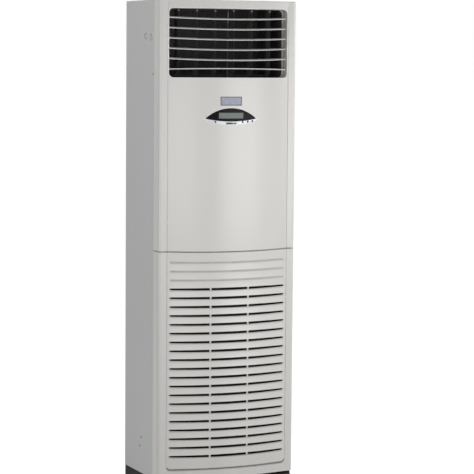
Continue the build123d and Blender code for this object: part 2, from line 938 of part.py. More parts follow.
def blower_wheel():
    low = wheel_middle - wheel_width / 2
    high = wheel_middle + wheel_width / 2
    inner = wheel_radius - wheel_blade_length
    back = Cylinder(wheel_radius, wheel_plate) - Cylinder(shaft_radius, 2 * wheel_plate)
    wheel = Pos(0, 0, wheel_plate / 2) * back
    wheel += Pos(0, 0, hub_length / 2) * (
        Cylinder(hub_radius, hub_length) - Cylinder(shaft_radius, 2 * hub_length)
    )
    ring = Cylinder(wheel_radius, wheel_plate * 2) - Cylinder(inner, wheel_plate * 4)
    wheel += Pos(0, 0, wheel_width - wheel_plate) * ring
    blade = Pos(wheel_radius - wheel_blade_length / 2 - wheel_blade_inset, 0, wheel_width / 2) * (
        Rot(0, 0, wheel_blade_angle) * Box(wheel_blade_length, wheel_blade_thick, wheel_width)
    )
    clip = Pos(0, 0, wheel_width / 2) * Cylinder(wheel_radius, wheel_width)
    for index in range(wheel_blades):
        wheel += Rot(0, 0, index * 360 / wheel_blades) * blade & clip
    return Pos(0, high, wheel_height) * Rot(90, 0, 0) * wheel


def motor_span():
    front = scroll_span()[1] + scroll_wall + bracket_thick
    return (front, front + motor_length)


def motor_shaft():
    start = wheel_middle + wheel_width / 2 - hub_length
    return rod_y(start - shaft_nose, motor_span()[0] + shaft_in_motor, shaft_radius, 0, wheel_height)


def fan_motor():
    y = motor_span()
    motor = rod_y(y[0] + motor_boss_length, y[1], motor_radius, 0, wheel_height)
    motor += rod_y(y[0], y[0] + motor_boss_length, motor_boss_radius, 0, wheel_height)
    return motor - rod_y(y[0] - 1, y[0] + shaft_in_motor + seat_gap,
                         shaft_radius + running_gap, 0, wheel_height)


def motor_bracket():
    y = motor_span()[0]
    half = bracket_size / 2
    plate = block((-half, half), (y - bracket_thick, y),
                  (wheel_height - half, wheel_height + half))
    return plate - rod_y(y - bracket_thick - 1, y + 1, bracket_hole, 0, wheel_height)


def blower_deck():
    reach = side_inner
    deck = block((-reach, reach), (baffle_y, rear_y - 2 * sheet), (deck_height, deck_top))
    for s in (-1, 1):
        edge = (s * (reach - sheet), s * reach)
        deck += block((min(edge), max(edge)), (side_front + sheet, rear_y - 2 * sheet),
                      (deck_height - deck_fold, deck_top))
        notch = (s * (half_width - flange - deck_notch), s * (half_width + 1))
        deck -= block((min(notch), max(notch)), (baffle_y - 1, side_front + sheet),
                      (deck_height - deck_fold - 1, deck_top + 1))
        notch = (s * (half_width - narrow_flange - deck_notch), s * (half_width + 1))
        deck -= block((min(notch), max(notch)), (rear_y - 2 * sheet - 2, rear_y),
                      (deck_height - deck_fold - 1, deck_top + 1))
    left, right = discharge_span()
    deck -= block((left, right), scroll_span(), (deck_height - 1, deck_top + 1))
    for x, y, radius in pipe_drops():
        deck -= rod_z(deck_height - 1, deck_top + 1, radius + pipe_hole_gap, x, y)
    return deck


# ---------------------------------------------------------------- filter


def filter_span():
    return (side_front - seat_gap - filter_thick, side_front - seat_gap)


def filter_frame():
    low = plinth_height + seat_gap
    middle = low + filter_height / 2
    frame = Rectangle(filter_width, filter_height)
    frame -= Rectangle(filter_width - 2 * filter_border, filter_height - 2 * filter_border)
    pitch = filter_width / filter_bars
    for index in range(1, filter_bars):
        frame += Pos(index * pitch - filter_width / 2, 0) * Rectangle(
            filter_bar, filter_height - filter_border)
    for index in (-1, 0, 1):
        frame += Pos(0, index * filter_height / 4) * Rectangle(
            filter_width - filter_border, filter_bar)
    body = upright(frame, filter_span(), middle)
    return body - filter_pocket(0)


def filter_pocket(gap):
    """Space of the mesh sheet in the frame's front face."""
    y = filter_span()
    middle = plinth_height + seat_gap + filter_height / 2
    sketch = Rectangle(filter_width - filter_border - 2 * gap,
                       filter_height - filter_border - 2 * gap)
    return upright(sketch, (y[0] - (1 if gap == 0 else 0), y[0] + mesh_thick), middle)


def filter_mesh():
    return filter_pocket(trim_fit)


# ---------------------------------------------------------------- coil and pipes


def coil_place(shape):
    """Lay a shape built upright on the coil's foot back at the coil's tilt."""
    return Pos(0, *coil_foot) * Rot(-coil_tilt, 0, 0) * shape


def coil_fins():
    return coil_place(
        Pos(0, 0, coil_length / 2) * Box(coil_width, coil_thick, coil_length)
    )


def coil_end_plates():
    plates = []
    for s in (-1, 1):
        x = s * (coil_width + coil_plate) / 2
        plate = Pos(x, 0, coil_length / 2) * Box(
            coil_plate, coil_thick + 2 * coil_plate_margin, coil_length)
        plates.append(coil_place(plate))
    return joined(plates)


def half_bend(x, s, y, z):
    """U-bend that leaves the end plate, stacked along the coil."""
    ring = Torus(bend_radius, tube_radius)
    ring = Rot(90, 0, 0) * ring
    half = Pos(s * 2 * bend_radius, 0, 0) * Box(4 * bend_radius, 4 * bend_radius, 4 * bend_radius)
    return Pos(x, y, z) * (ring & half)


def coil_tubes():
    bends = []
    pitch = coil_length / bend_count
    for s in (-1, 1):
        for index in range(bend_count):
            for row in (-1, 1):
                x = s * (coil_width / 2 + coil_plate)
                z = (index + 0.5) * pitch
                bends.append(coil_place(half_bend(x, s, row * coil_thick / 4, z)))
    return joined(bends)


def drain_pan():
    half = pan_length / 2
    pan = block((-half, half), pan_span, (pan_floor, pan_rim))
    inner = (pan_span[0] + pan_wall, pan_span[1] - pan_wall)
    pan -= block((-half + pan_wall, half - pan_wall), inner, (pan_floor + pan_wall, pan_rim + 1))
    rest_z = coil_foot[1] - (coil_thick / 2 + coil_plate_margin) * sin(radians(coil_tilt))
    for s in (-1, 1):
        rest = (s * (coil_width / 2 - rest_length), s * (coil_width / 2 + coil_plate))
        pan += block((min(rest), max(rest)), (coil_foot[0], inner[1]),
                     (pan_floor, rest_z - seat_gap))
        foot = (s * (half - pan_foot_edge), s * (half - pan_foot_edge - rest_length))
        pan += block((min(foot), max(foot)), (pan_span[0], scroll_span()[0] - scroll_wall),
                     (deck_top, pan_floor))
    return pan - rod_z(pan_floor - 1, pan_floor + pan_wall + 1, drain_bore,
                       drain_place, drain_y)


def coil_point(step):
    """Y and Z between two bends on the right end plate."""
    length = step * coil_length / bend_count
    tilt = radians(coil_tilt)
    return (coil_foot[0] + length * sin(tilt), coil_foot[1] + length * cos(tilt))


def pipe_drops():
    """Where each pipe passes the blower deck: x, y, radius."""
    return (
        (pipe_drop_place, coil_point(liquid_step)[0], liquid_radius),
        (pipe_drop_place, coil_point(suction_step)[0], suction_radius),
        (drain_place, drain_y, drain_radius),
    )


def pipe(points, section, bend):
    """Pipe along straight runs joined by arcs."""
    path = FilletPolyline(*points, radius=bend)
    start = Plane(origin=path @ 0, z_dir=path % 0)
    return sweep(start * section, path=path)


def refrigerant_pipe(step, place, run, radius):
    """From the coil's end plate down the right side, in behind the scroll and out to the rear."""
    y, z = coil_point(step)
    drop_y = union_front - run
    points = [
        (coil_width / 2 + coil_plate, y, z),
        (pipe_drop_place, y, z),
        (pipe_drop_place, y, pipe_jog_top),
        (place, drop_y, pipe_jog_top - pipe_jog_height),
        (place, drop_y, pipe_height),
        (place, union_front, pipe_height),
    ]
    return pipe(points, Circle(radius), pipe_bend)


def liquid_pipe():
    return refrigerant_pipe(liquid_step, liquid_place, liquid_run, liquid_radius)


def suction_pipe():
    return refrigerant_pipe(suction_step, suction_place, suction_run, suction_radius)


def flare_unions():
    """Brass unions: hexagon, then the thread that the outside pipes screw on."""
    unions = []
    for place, thread in ((liquid_place, liquid_thread), (suction_place, suction_thread)):
        hexagon = upright(RegularPolygon(thread * union_hexagon, 6),
                          (union_front, union_front + union_length - union_thread), pipe_height)
        end = union_front + union_length
        screw = rod_y(end - union_thread, end, thread, place, pipe_height)
        unions.append(Pos(place, 0, 0) * hexagon + screw)
    return joined(unions)


def drain_pipe():
    points = [
        (drain_place, drain_y, pan_floor),
        (drain_place, drain_y, drain_height),
        (drain_place, rear_y - pipe_end_gap, drain_height),
    ]
    tube = pipe(points, Circle(drain_radius) - Circle(drain_bore), drain_bend)
    start = rear_y - pipe_end_gap - spigot_length
    waste = rod_y(start, rear_y, drain_radius + 1, drain_place, drain_height)
    waste -= rod_y(start - 1, rear_y + 1, spigot_radius, drain_place, drain_height)
    return tube - waste


def air_baffle():
    """Sheet that closes the air path towards the electronics."""
    half = half_width - panel_wall - baffle_edge
    top = outlet_floor - collar_wall - seat_gap
    return block((-half, half), (baffle_y, baffle_y + sheet), (deck_top, top))


def duct_foam():
    """Insulation round the coil: two sides, rear and roof."""
    side = half_width - screw_length - foam_gap
    back = rear_y - screw_length - foam_gap
    front = side_front + sheet + foam_gap
    foam = block((-side, side), (front, back), (deck_top, foam_top))
    foam -= block((-side + foam_thick, side - foam_thick), (front - 1, back - foam_thick),
                  (deck_top - 1, foam_top - foam_thick))
    return foam - block((-side + foam_thick, side - foam_thick), (front - 1, foam_roof_front),
                        (deck_top, foam_top + 1))


def control_box():
    y = (baffle_y - box_depth, baffle_y)
    half = box_width / 2
    z = (box_middle - box_height / 2, box_middle + box_height / 2)
    tray = block((-half, half), y, z)
    tray -= block((-half + sheet, half - sheet), (y[0] - 1, y[1] - sheet), (z[0] + sheet, z[1] - sheet))
    floor = y[1] - sheet
    for s in (-1, 1):
        for t in (-1, 1):
            x = pcb_place[0] + s * (pcb_width / 2 - pcb_screw_edge)
            height = pcb_place[1] + t * (pcb_height / 2 - pcb_screw_edge)
            tray += rod_y(floor - pcb_lift, floor, pcb_post_radius, x, height)
    return tray


def on_tray(size, place, lift=0):
    """A block seated on the control box's rear wall: size across, deep and up."""
    floor = baffle_y - sheet - lift
    x, z = place
    return block((x - size[0] / 2, x + size[0] / 2), (floor - size[1], floor),
                 (z - size[2] / 2, z + size[2] / 2))


def circuit_board():
    board = on_tray((pcb_width, board_thick, pcb_height), pcb_place, pcb_lift)
    for x, z, wide, deep, high in pcb_parts:
        place = (pcb_place[0] + x, pcb_place[1] + z)
        board += on_tray((wide, deep, high), place, pcb_lift + board_thick)
    return board


def transformer():
    core = on_tray(transformer_core, transformer_place)
    coil = on_tray(transformer_coil, transformer_place)
    return core + coil


def run_capacitor():
    x, z = capacitor_place
    half = capacitor_length / 2
    y = baffle_y - sheet - capacitor_radius
    return rod_z(z - half, z + half, capacitor_radius, x, y)


def terminal_block():
    strip = on_tray(terminal_size, terminal_place)
    pitch = terminal_size[0] / terminal_ways
    front = baffle_y - sheet - terminal_size[1]
    for index in range(terminal_ways):
        x = terminal_place[0] + (index + 0.5) * pitch - terminal_size[0] / 2
        strip -= rod_y(front - 1, front + terminal_well, pitch / 3, x, terminal_place[1])
    return strip


save("base_plinth", base_plinth())
save("left_side_panel", side_panel(-1))
save("right_side_panel", side_panel(1))
save("rear_panel", rear_panel())
save("top_cover", top_cover())
save("front_panel", front_panel())
save("intake_grille", intake_grille())
save("outlet_duct", outlet_duct())
for number in range(blade_count):
    save(f"louver_blade_{number + 1}", louver_blade(number))
save("louver_strut", louver_strut())
for number in range(vane_count):
    save(f"air_vane_{number + 1}", air_vane(number))
save("vane_link_bar", vane_link_bar())
save("swing_motor", swing_motor())
save("display_lens", display_lens())
save("lcd_panel", lcd_panel())
save("display_board", display_board())
save("display_bezel", display_bezel())
for number in range(len(button_places)):
    save(f"control_button_{number + 1}", control_button(number))
save("power_button", power_button())
save("badge_frame", badge_frame())
save("badge_inlay", badge_inlay())
save("hole_plugs", hole_plugs())
save("casing_screws", casing_screws())
save("scroll_housing", scroll_housing())
save("inlet_ring", inlet_ring())
save("blower_wheel", blower_wheel())
save("motor_shaft", motor_shaft())
save("fan_motor", fan_motor())
save("motor_bracket", motor_bracket())
save("blower_deck", blower_deck())
save("filter_frame", filter_frame())
save("filter_mesh", filter_mesh())
save("coil_fins", coil_fins())
save("coil_end_plates", coil_end_plates())
save("coil_tubes", coil_tubes())
save("drain_pan", drain_pan())
save("drain_pipe", drain_pipe())
save("liquid_pipe", liquid_pipe())
save("suction_pipe", suction_pipe())
save("flare_unions", flare_unions())
save("air_baffle", air_baffle())
save("duct_foam", duct_foam())
save("control_box", control_box())
save("circuit_board", circuit_board())
save("transformer", transformer())
save("run_capacitor", run_capacitor())
save("terminal_block", terminal_block())
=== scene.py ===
import json
import math

import bmesh
import bpy
from mathutils import Matrix, Vector


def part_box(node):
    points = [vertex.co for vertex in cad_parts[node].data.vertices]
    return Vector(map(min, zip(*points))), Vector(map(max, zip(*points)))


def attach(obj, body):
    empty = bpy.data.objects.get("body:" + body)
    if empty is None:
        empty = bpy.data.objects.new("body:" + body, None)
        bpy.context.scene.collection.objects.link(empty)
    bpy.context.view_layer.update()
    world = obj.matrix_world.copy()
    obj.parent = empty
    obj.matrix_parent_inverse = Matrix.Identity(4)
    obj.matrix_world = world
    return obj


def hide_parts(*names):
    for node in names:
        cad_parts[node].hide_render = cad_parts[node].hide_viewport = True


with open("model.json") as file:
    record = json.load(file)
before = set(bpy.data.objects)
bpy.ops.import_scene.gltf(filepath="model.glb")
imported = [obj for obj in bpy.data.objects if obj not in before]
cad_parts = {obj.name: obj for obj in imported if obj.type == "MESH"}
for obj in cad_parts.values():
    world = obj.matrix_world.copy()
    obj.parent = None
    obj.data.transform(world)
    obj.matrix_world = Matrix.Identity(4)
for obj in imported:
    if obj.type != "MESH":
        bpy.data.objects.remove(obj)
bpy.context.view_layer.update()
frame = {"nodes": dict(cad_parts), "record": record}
cadNodes = frame["nodes"]
scene = bpy.context.scene
print("frame loaded:", len(cadNodes), "nodes")

# the case in metres: X to the viewer's right, Y to the rear, Z up
case = {
    "halfWidth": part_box("top_cover")[1].x,
    "frontY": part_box("front_panel")[0].y,
    "rearY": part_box("rear_panel")[1].y,
    "seamLow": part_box("intake_grille")[1].z,
    "seamHigh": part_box("front_panel")[0].z,
    "foot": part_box("intake_grille")[0].z + 0.003,  # it ends a little higher than the CAD's
    "top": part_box("top_cover")[1].z,
    "wingBack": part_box("left_side_panel")[0].y,
    "wingGap": 0.0008,
    "creaseInset": 0.033,
    "bowDepth": 0.028,
    "cornerRadius": 0.0125,
    "cornerSteps": 8,
    "wall": 0.003,
    "grooveWidth": 0.0032,
    "grooveDepth": 0.0019,
    "grooveTop": 0.004,  # the creases' grooves end this far under the lid
    "seamSag": 0.004,
    "seamBand": 0.0022,
}
case["creaseHalf"] = case["halfWidth"] - case["creaseInset"]
case["creaseY"] = case["frontY"] + case["bowDepth"]
case["bowRadius"] = (case["creaseHalf"] ** 2 + case["bowDepth"] ** 2) / (2 * case["bowDepth"])
case["bowCentre"] = case["frontY"] + case["bowRadius"]


def bowY(x):
    return case["bowCentre"] - math.sqrt(case["bowRadius"] ** 2 - x * x)


def fade(value, low, high):  # smooth 0 to 1 between low and high
    t = min(max((value - low) / (high - low), 0.0), 1.0)
    return t * t * (3 - 2 * t)


# shader helpers; an input is given by its name or its number

def addNode(tree, kind, inputs=None, **settings):
    made = tree.nodes.new("ShaderNode" + kind)
    for name, value in settings.items():
        setattr(made, name, value)
    for name, value in (inputs or {}).items():
        if isinstance(value, bpy.types.NodeSocket):
            tree.links.new(value, made.inputs[name])
        else:
            made.inputs[name].default_value = value
    return made


def maths(tree, operation, first, second):
    return addNode(tree, "Math", {0: first, 1: second}, operation=operation).outputs[0]


def between(tree, value, low, high):  # 0 at low to 1 at high
    return addNode(tree, "MapRange",
                   {"Value": value, "From Min": low, "From Max": high}).outputs["Result"]


def mixColours(tree, factor, first, second):
    return addNode(tree, "Mix", {0: factor, 6: first, 7: second}, data_type="RGBA").outputs[2]


def objectNoise(tree, inputs, stretch=None):  # stretched along Z where stretch is low
    vector = addNode(tree, "TexCoord").outputs["Object"]
    if stretch:
        scale = addNode(tree, "CombineXYZ", {"X": 1.0, "Y": 1.0, "Z": stretch}).outputs[0]
        vector = addNode(tree, "Mapping", {"Vector": vector, "Scale": scale}).outputs[0]
    return addNode(tree, "TexNoise", {"Vector": vector, **inputs}).outputs["Fac"]


def newGroup(name, inputs, output):
    tree = bpy.data.node_groups.new(name, "ShaderNodeTree")
    for label, value in inputs.items():
        socket = tree.interface.new_socket(name=label, in_out="INPUT",
                                           socket_type="NodeSocketFloat")
        socket.default_value = value
    tree.interface.new_socket(name=output, in_out="OUTPUT", socket_type="NodeSocketFloat")
    return tree, tree.nodes.new("NodeGroupInput").outputs


def endGroup(tree, value):
    tree.links.new(value, tree.nodes.new("NodeGroupOutput").inputs[0])
    return tree


def emptyTree(block):
    block.use_nodes = True
    block.node_tree.nodes.clear()
    return block.node_tree


def cloudingGroup():  # broad uneven tone
    tree, given = newGroup("clouding", {"Scale": 6.0, "Stretch": 1.0}, "Mask")
    noise = objectNoise(tree, {"Scale": given["Scale"], "Detail": 3.0, "Roughness": 0.55},
                        given["Stretch"])
    return endGroup(tree, between(tree, noise, 0.3, 0.7))


def grainGroup():  # fine surface height: moulding texture, orange peel or brushing
    tree, given = newGroup("grain", {"Scale": 900.0, "Stretch": 1.0}, "Height")
    return endGroup(tree, objectNoise(
        tree, {"Scale": given["Scale"], "Detail": 2.0, "Roughness": 0.6}, given["Stretch"]))


def edgeWearGroup():  # 1 along sharp edges, broken up so that it comes and goes
    tree, given = newGroup("edge wear", {"Radius": 0.0015, "Breakup": 60.0}, "Mask")
    surface = addNode(tree, "NewGeometry")
    rounded = addNode(tree, "Bevel", {"Radius": given["Radius"]}, samples=4)
    match = addNode(tree, "VectorMath",
                    {0: surface.outputs["Normal"], 1: rounded.outputs["Normal"]},
                    operation="DOT_PRODUCT")
    edge = between(tree, match.outputs["Value"], 0.995, 0.85)
    patch = objectNoise(tree, {"Scale": given["Breakup"], "Detail": 4.0})
    return endGroup(tree, maths(tree, "MULTIPLY", edge, between(tree, patch, 0.42, 0.6)))


def dustGroup():  # settles on faces that look up, in patches
    tree, given = newGroup("dust", {"Amount": 0.3}, "Mask")
    surface = addNode(tree, "NewGeometry")
    split = addNode(tree, "SeparateXYZ", {"Vector": surface.outputs["Normal"]})
    upward = addNode(tree, "MapRange", {"Value": split.outputs["Z"], "From Min": 0.1,
                                        "From Max": 0.9, "To Max": given["Amount"]})
    patch = objectNoise(tree, {"Scale": 35.0, "Detail": 5.0})
    return endGroup(tree, maths(tree, "MULTIPLY", upward.outputs["Result"], patch))


clouding = cloudingGroup()
graining = grainGroup()
edgeWear = edgeWearGroup()
dusting = dustGroup()
dustTone = (0.42, 0.40, 0.37, 1)
finishes = {}


def effect(tree, group, **inputs):
    return addNode(tree, "Group", inputs, node_tree=group).outputs[0]


def finish(name, tone, shade, cloud, least, most, stretch=1.0, metal=0.0, coat=0.0,
           coatRough=0.1, shine=0.5, grain=900.0, grainZ=1.0, depth=4e-5, wear=None,
           worn=0.0, wearRadius=0.0015, dust=0.0):
    # clouds of that scale mix tone and shade, and take the roughness from least to most
    finishes[name] = bpy.data.materials.new(name)
    tree = emptyTree(finishes[name])
    mask = effect(tree, clouding, Scale=cloud, Stretch=stretch)
    painted = mixColours(tree, mask, (*shade, 1), (*tone, 1))
    if worn:
        edge = maths(tree, "MULTIPLY", effect(tree, edgeWear, Radius=wearRadius), worn)
        painted = mixColours(tree, edge, painted, (*wear, 1))
    if dust:
        painted = mixColours(tree, effect(tree, dusting, Amount=dust), painted, dustTone)
    rough = addNode(tree, "MapRange", {"Value": mask, "To Min": least, "To Max": most})
    fine = effect(tree, graining, Scale=grain, Stretch=grainZ)
    bump = addNode(tree, "Bump", {"Height": fine, "Strength": 1.0, "Distance": depth})
    shader = addNode(tree, "BsdfPrincipled",
                     {"Base Color": painted, "Roughness": rough.outputs["Result"],
                      "Normal": bump.outputs["Normal"], "Metallic": metal,
                      "Coat Weight": coat, "Coat Roughness": coatRough,
                      "Specular IOR Level": shine})
    addNode(tree, "OutputMaterial", {"Surface": shader.outputs["BSDF"]}, target="ALL")


finish("case_plastic", (0.737, 0.725, 0.696), (0.702, 0.685, 0.664), 5, 0.3, 0.38, stretch=0.18,
       coat=0.25, coatRough=0.18, grain=700, depth=3e-5, wear=(0.8, 0.79, 0.77), worn=0.35,
       dust=0.25)
finish("case_steel", (0.66, 0.66, 0.655), (0.62, 0.622, 0.625), 4, 0.38, 0.48, stretch=0.4,
       grain=520, depth=6e-5, wear=(0.42, 0.42, 0.41), worn=0.3, dust=0.35)
finish("plinth_black", (0.018, 0.018, 0.019), (0.028, 0.027, 0.026), 14, 0.55, 0.7, shine=0.08,
       grain=600, depth=8e-5, wear=(0.12, 0.11, 0.1), worn=0.5, dust=0.5)
finish("galvanised", (0.5, 0.52, 0.53), (0.4, 0.42, 0.43), 45, 0.32, 0.5, metal=0.85, grain=300)
finish("blade_grey", (0.88, 0.87, 0.855), (0.8, 0.79, 0.775), 12, 0.35, 0.48,
       wear=(0.75, 0.74, 0.72), worn=0.3, dust=0.15)
finish("duct_black", (0.072,) * 3, (0.06,) * 3, 18, 0.55, 0.7, shine=0.15, dust=0.1)
finish("vane_dark", (0.06,) * 3, (0.048,) * 3, 25, 0.5, 0.62, shine=0.12, wear=(0.05,) * 3,
       worn=0.3)
# painted highlight: pale vane heads and a streak on the strut, where light catches them
finish("vane_head", (0.3, 0.28, 0.275), (0.22, 0.2, 0.2), 80, 0.45, 0.55, shine=0.3)
# painted shade in the floor of the grille's foot groove
finish("groove_painted_shade", (0.27, 0.263, 0.25), (0.2, 0.195, 0.185), 40, 0.5, 0.65, stretch=0.3,
       shine=0.2)
# painted shade in bands: beside the seam, under each slot, in the blind grooves and at the edges
# of the foot groove
finish("painted_shade_band", (0.56, 0.545, 0.52), (0.46, 0.45, 0.43), 30, 0.4, 0.5, shine=0.3)
# painted shade beside the blind grooves, fainter than the band in them
finish("blind_shade", (0.645, 0.63, 0.61), (0.6, 0.585, 0.565), 30, 0.35, 0.45, shine=0.4)
# inside the outlet's collar: a darker line of painted shade at its step, and a paler band of
# painted light further in
finish("jamb_painted_shade_line", (0.4, 0.385, 0.36), (0.34, 0.33, 0.305), 12, 0.45, 0.55)
finish("jamb_painted_light", (0.86, 0.84, 0.78), (0.76, 0.74, 0.68), 12, 0.35, 0.45)
# painted shade and dark painted reflection for the power key's lower faces
finish("key_shade", (0.045, 0.05, 0.06), (0.03, 0.034, 0.04), 60, 0.25, 0.35, shine=0.3)
# painted highlight on the lip round the outlet, paler and glossier than the panel it is moulded
# with
finish("rim_painted_highlight", (0.86, 0.85, 0.835), (0.8, 0.79, 0.775), 8, 0.22, 0.3, coat=0.5,
       coatRough=0.12)
finish("frame_grey", (0.2, 0.205, 0.24), (0.165, 0.17, 0.195), 90, 0.36, 0.46, metal=0.15,
       shine=0.3, wear=(0.36, 0.36, 0.4), worn=0.4, wearRadius=0.0008)
finish("lens_black", (0.008, 0.007, 0.007), (0.011, 0.009, 0.009), 20, 0.14, 0.2, shine=0.045,
       depth=1e-5)
finish("lcd_glass", (0.225, 0.262, 0.256), (0.19, 0.225, 0.22), 60, 0.3, 0.4, shine=0.15,
       depth=1e-5)
finish("silver_trim", (0.62, 0.65, 0.66), (0.54, 0.57, 0.585), 40, 0.28, 0.36, metal=0.2,
       depth=1e-5)
finish("badge_face", (0.35, 0.37, 0.455), (0.27, 0.29, 0.365), 50, 0.32, 0.4, metal=0.1,
       shine=0.35, grain=1500, grainZ=12, depth=2e-5)
finish("button_dark", (0.022, 0.024, 0.03), (0.015, 0.017, 0.021), 150, 0.4, 0.5, shine=0.25)
finish("cap_plastic", (0.64, 0.64, 0.635), (0.56, 0.56, 0.555), 60, 0.3, 0.4, coat=0.2,
       wear=(0.75, 0.75, 0.74), worn=0.3)
finish("screw_steel", (0.2, 0.195, 0.185), (0.12, 0.115, 0.11), 220, 0.4, 0.55, metal=0.5)
finish("wheel_plastic", (0.6, 0.6, 0.57), (0.52, 0.51, 0.48), 20, 0.45, 0.6, dust=0.5)
finish("shaft_steel", (0.52,) * 3, (0.44,) * 3, 80, 0.2, 0.32, metal=0.95, grainZ=8)
finish("motor_shell", (0.085, 0.088, 0.092), (0.065, 0.067, 0.07), 30, 0.4, 0.52, wear=(0.3,) * 3,
       worn=0.4)
finish("fin_aluminium", (0.6, 0.62, 0.64), (0.48, 0.5, 0.52), 30, 0.3, 0.45, metal=0.8, grain=700,
       grainZ=0.02, depth=0.0002)
finish("copper", (0.6, 0.27, 0.15), (0.38, 0.17, 0.1), 35, 0.25, 0.45, metal=1, grain=500)
finish("brass", (0.62, 0.44, 0.18), (0.46, 0.32, 0.13), 90, 0.22, 0.36, metal=1,
       wear=(0.8, 0.66, 0.38), worn=0.5)
finish("pvc", (0.62, 0.62, 0.59), (0.54, 0.53, 0.5), 25, 0.4, 0.5, dust=0.4)
finish("foam", (0.082,) * 3, (0.058,) * 3, 120, 0.9, 0.98, grain=450, depth=0.0006, shine=0.2)
finish("filter_plastic", (0.03, 0.03, 0.032), (0.022, 0.022, 0.023), 20, 0.5, 0.62)
finish("filter_net", (0.02, 0.02, 0.021), (0.012, 0.012, 0.013), 30, 0.8, 0.92, grain=1200,
       depth=0.0004, dust=0.3)
finish("board_green", (0.02, 0.12, 0.05), (0.015, 0.09, 0.04), 60, 0.35, 0.45)
finish("core_steel", (0.16, 0.16, 0.165), (0.12,) * 3, 50, 0.45, 0.6, metal=0.4, grainZ=0.05,
       depth=0.0002)
finish("terminal_plastic", (0.03,) * 3, (0.022,) * 3, 60, 0.45, 0.55)
# painted shade: a darker copy of the case plastic for the inside wall of the outlet's collar
finish("jamb_plastic", (0.64, 0.62, 0.58), (0.56, 0.54, 0.505), 12, 0.42, 0.52, dust=0.2)

slotOf = {part["node"]: part["material_slot"] for part in frame["record"]["subparts"]}
for name, cadNode in cadNodes.items():
    cadNode.data.materials.clear()
    cadNode.data.materials.append(finishes[slotOf[name]])
print("finishes made:", len(finishes))


# mesh helpers

weld = 1e-6  # points closer than this become one
level = 1e-7  # points closer than this to a height or a cutting plane are on it


def verts(geometry):
    return [item for item in geometry if isinstance(item, bmesh.types.BMVert)]


def edges(geometry):
    return [item for item in geometry if isinstance(item, bmesh.types.BMEdge)]


def everything(bm):
    return bm.verts[:] + bm.edges[:] + bm.faces[:]


def smoothen(piece, sharp):
    mesh = piece.data
    mesh.polygons.foreach_set("use_smooth", [True] * len(mesh.polygons))
    mesh.set_sharp_from_angle(angle=math.radians(sharp))
    if "normals" not in piece.modifiers:
        normals = piece.modifiers.new("normals", "WEIGHTED_NORMAL")
        normals.keep_sharp = True
        normals.weight = 100


def newObject(name, bm):
    mesh = bpy.data.meshes.new(name)
    bm.to_mesh(mesh)
    bm.free()
    made = bpy.data.objects.new(name, mesh)
    scene.collection.objects.link(made)
    return made


def makePiece(name, bm, node, body="cabinet", sharp=35, first=None, more=()):
    # the finish is the node's own or the one called first, and more are for bands of painted
    # light and shade
    piece = newObject(name, bm)
    for label in (first or slotOf[node], *more):
        piece.data.materials.append(finishes[label])
    smoothen(piece, sharp)
    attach(piece, body)
    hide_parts(node)
    return piece


def bakeModifiers(piece, sharp=35):
    piece.modifiers.remove(piece.modifiers["normals"])
    graph = bpy.context.evaluated_depsgraph_get()
    mesh = bpy.data.meshes.new_from_object(piece.evaluated_get(graph))
    piece.modifiers.clear()
    piece.data = mesh
    smoothen(piece, sharp)


def faceOut(bm):
    bmesh.ops.recalc_face_normals(bm, faces=bm.faces[:])
    return bm


def faceForward(bm):  # for an open skin, whose foremost face has to look at the viewer
    faceOut(bm)
    foremost = min(bm.faces, key=lambda f: f.calc_center_median().y)
    if foremost.normal.y > 0:
        bmesh.ops.reverse_faces(bm, faces=bm.faces[:])
    return bm


def cutWith(piece, bm, sharp=35, crossing=False):
    cutter = newObject("cutter", faceOut(bm))
    cut = piece.modifiers.new("cut", "BOOLEAN")
    cut.operation = "DIFFERENCE"
    cut.solver = "EXACT"
    cut.use_self = crossing
    cut.object = cutter
    bakeModifiers(piece, sharp)
    bpy.data.objects.remove(cutter)


def roundOff(bm, geometry, width, segments, affect="EDGES", clamp=False):
    bmesh.ops.bevel(bm, geom=geometry, offset=width, offset_type="OFFSET", segments=segments,
                    profile=0.5, affect=affect, material=-1, clamp_overlap=clamp)


def mergeDoubles(bm, distance=weld):
    bmesh.ops.remove_doubles(bm, verts=bm.verts[:], dist=distance)


def roundedPlate(bm, centre, width, height, radius, steps=6):
    # upright face in the XZ plane, with rounded corners
    made = bmesh.ops.create_grid(
        bm, x_segments=1, y_segments=1, size=0.5,
        matrix=Matrix.Translation(centre) @ Matrix.Rotation(math.pi / 2, 4, "X")
        @ Matrix.Diagonal((width, height, 1, 1)))
    if radius:
        roundOff(bm, made["verts"], radius, steps, "VERTICES")


def thicken(bm, depth):  # upright faces become plates that go back by depth
    grown = bmesh.ops.extrude_face_region(bm, geom=bm.faces[:], use_keep_orig=True)["geom"]
    bmesh.ops.translate(bm, verts=verts(grown), vec=(0, depth, 0))
    faceOut(bm)


def solidPlate(centre, width, height, radius, depth, steps=6):
    bm = bmesh.new()
    roundedPlate(bm, centre, width, height, radius, steps)
    thicken(bm, depth)
    return bm


def boxMiddle(node):
    low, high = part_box(node)
    return (low + high) / 2


def sliceAlongX(bm, step):
    along = Vector((1, 0, 0))
    places = [v.co.x for v in bm.verts]
    first = math.ceil(min(places) / step + 0.01)
    last = math.floor(max(places) / step - 0.01)
    for index in range(first, last + 1):
        bmesh.ops.bisect_plane(bm, geom=everything(bm), dist=level,
                               plane_co=along * index * step, plane_no=along)


def softenFront(bm, width, segments=3):  # rounds the rim of a plate's front face
    front = min(v.co.y for v in bm.verts) + weld
    rim = [e for e in bm.edges
           if all(v.co.y < front for v in e.verts) and e.calc_face_angle(0) > 0.8]
    roundOff(bm, rim, width, segments)


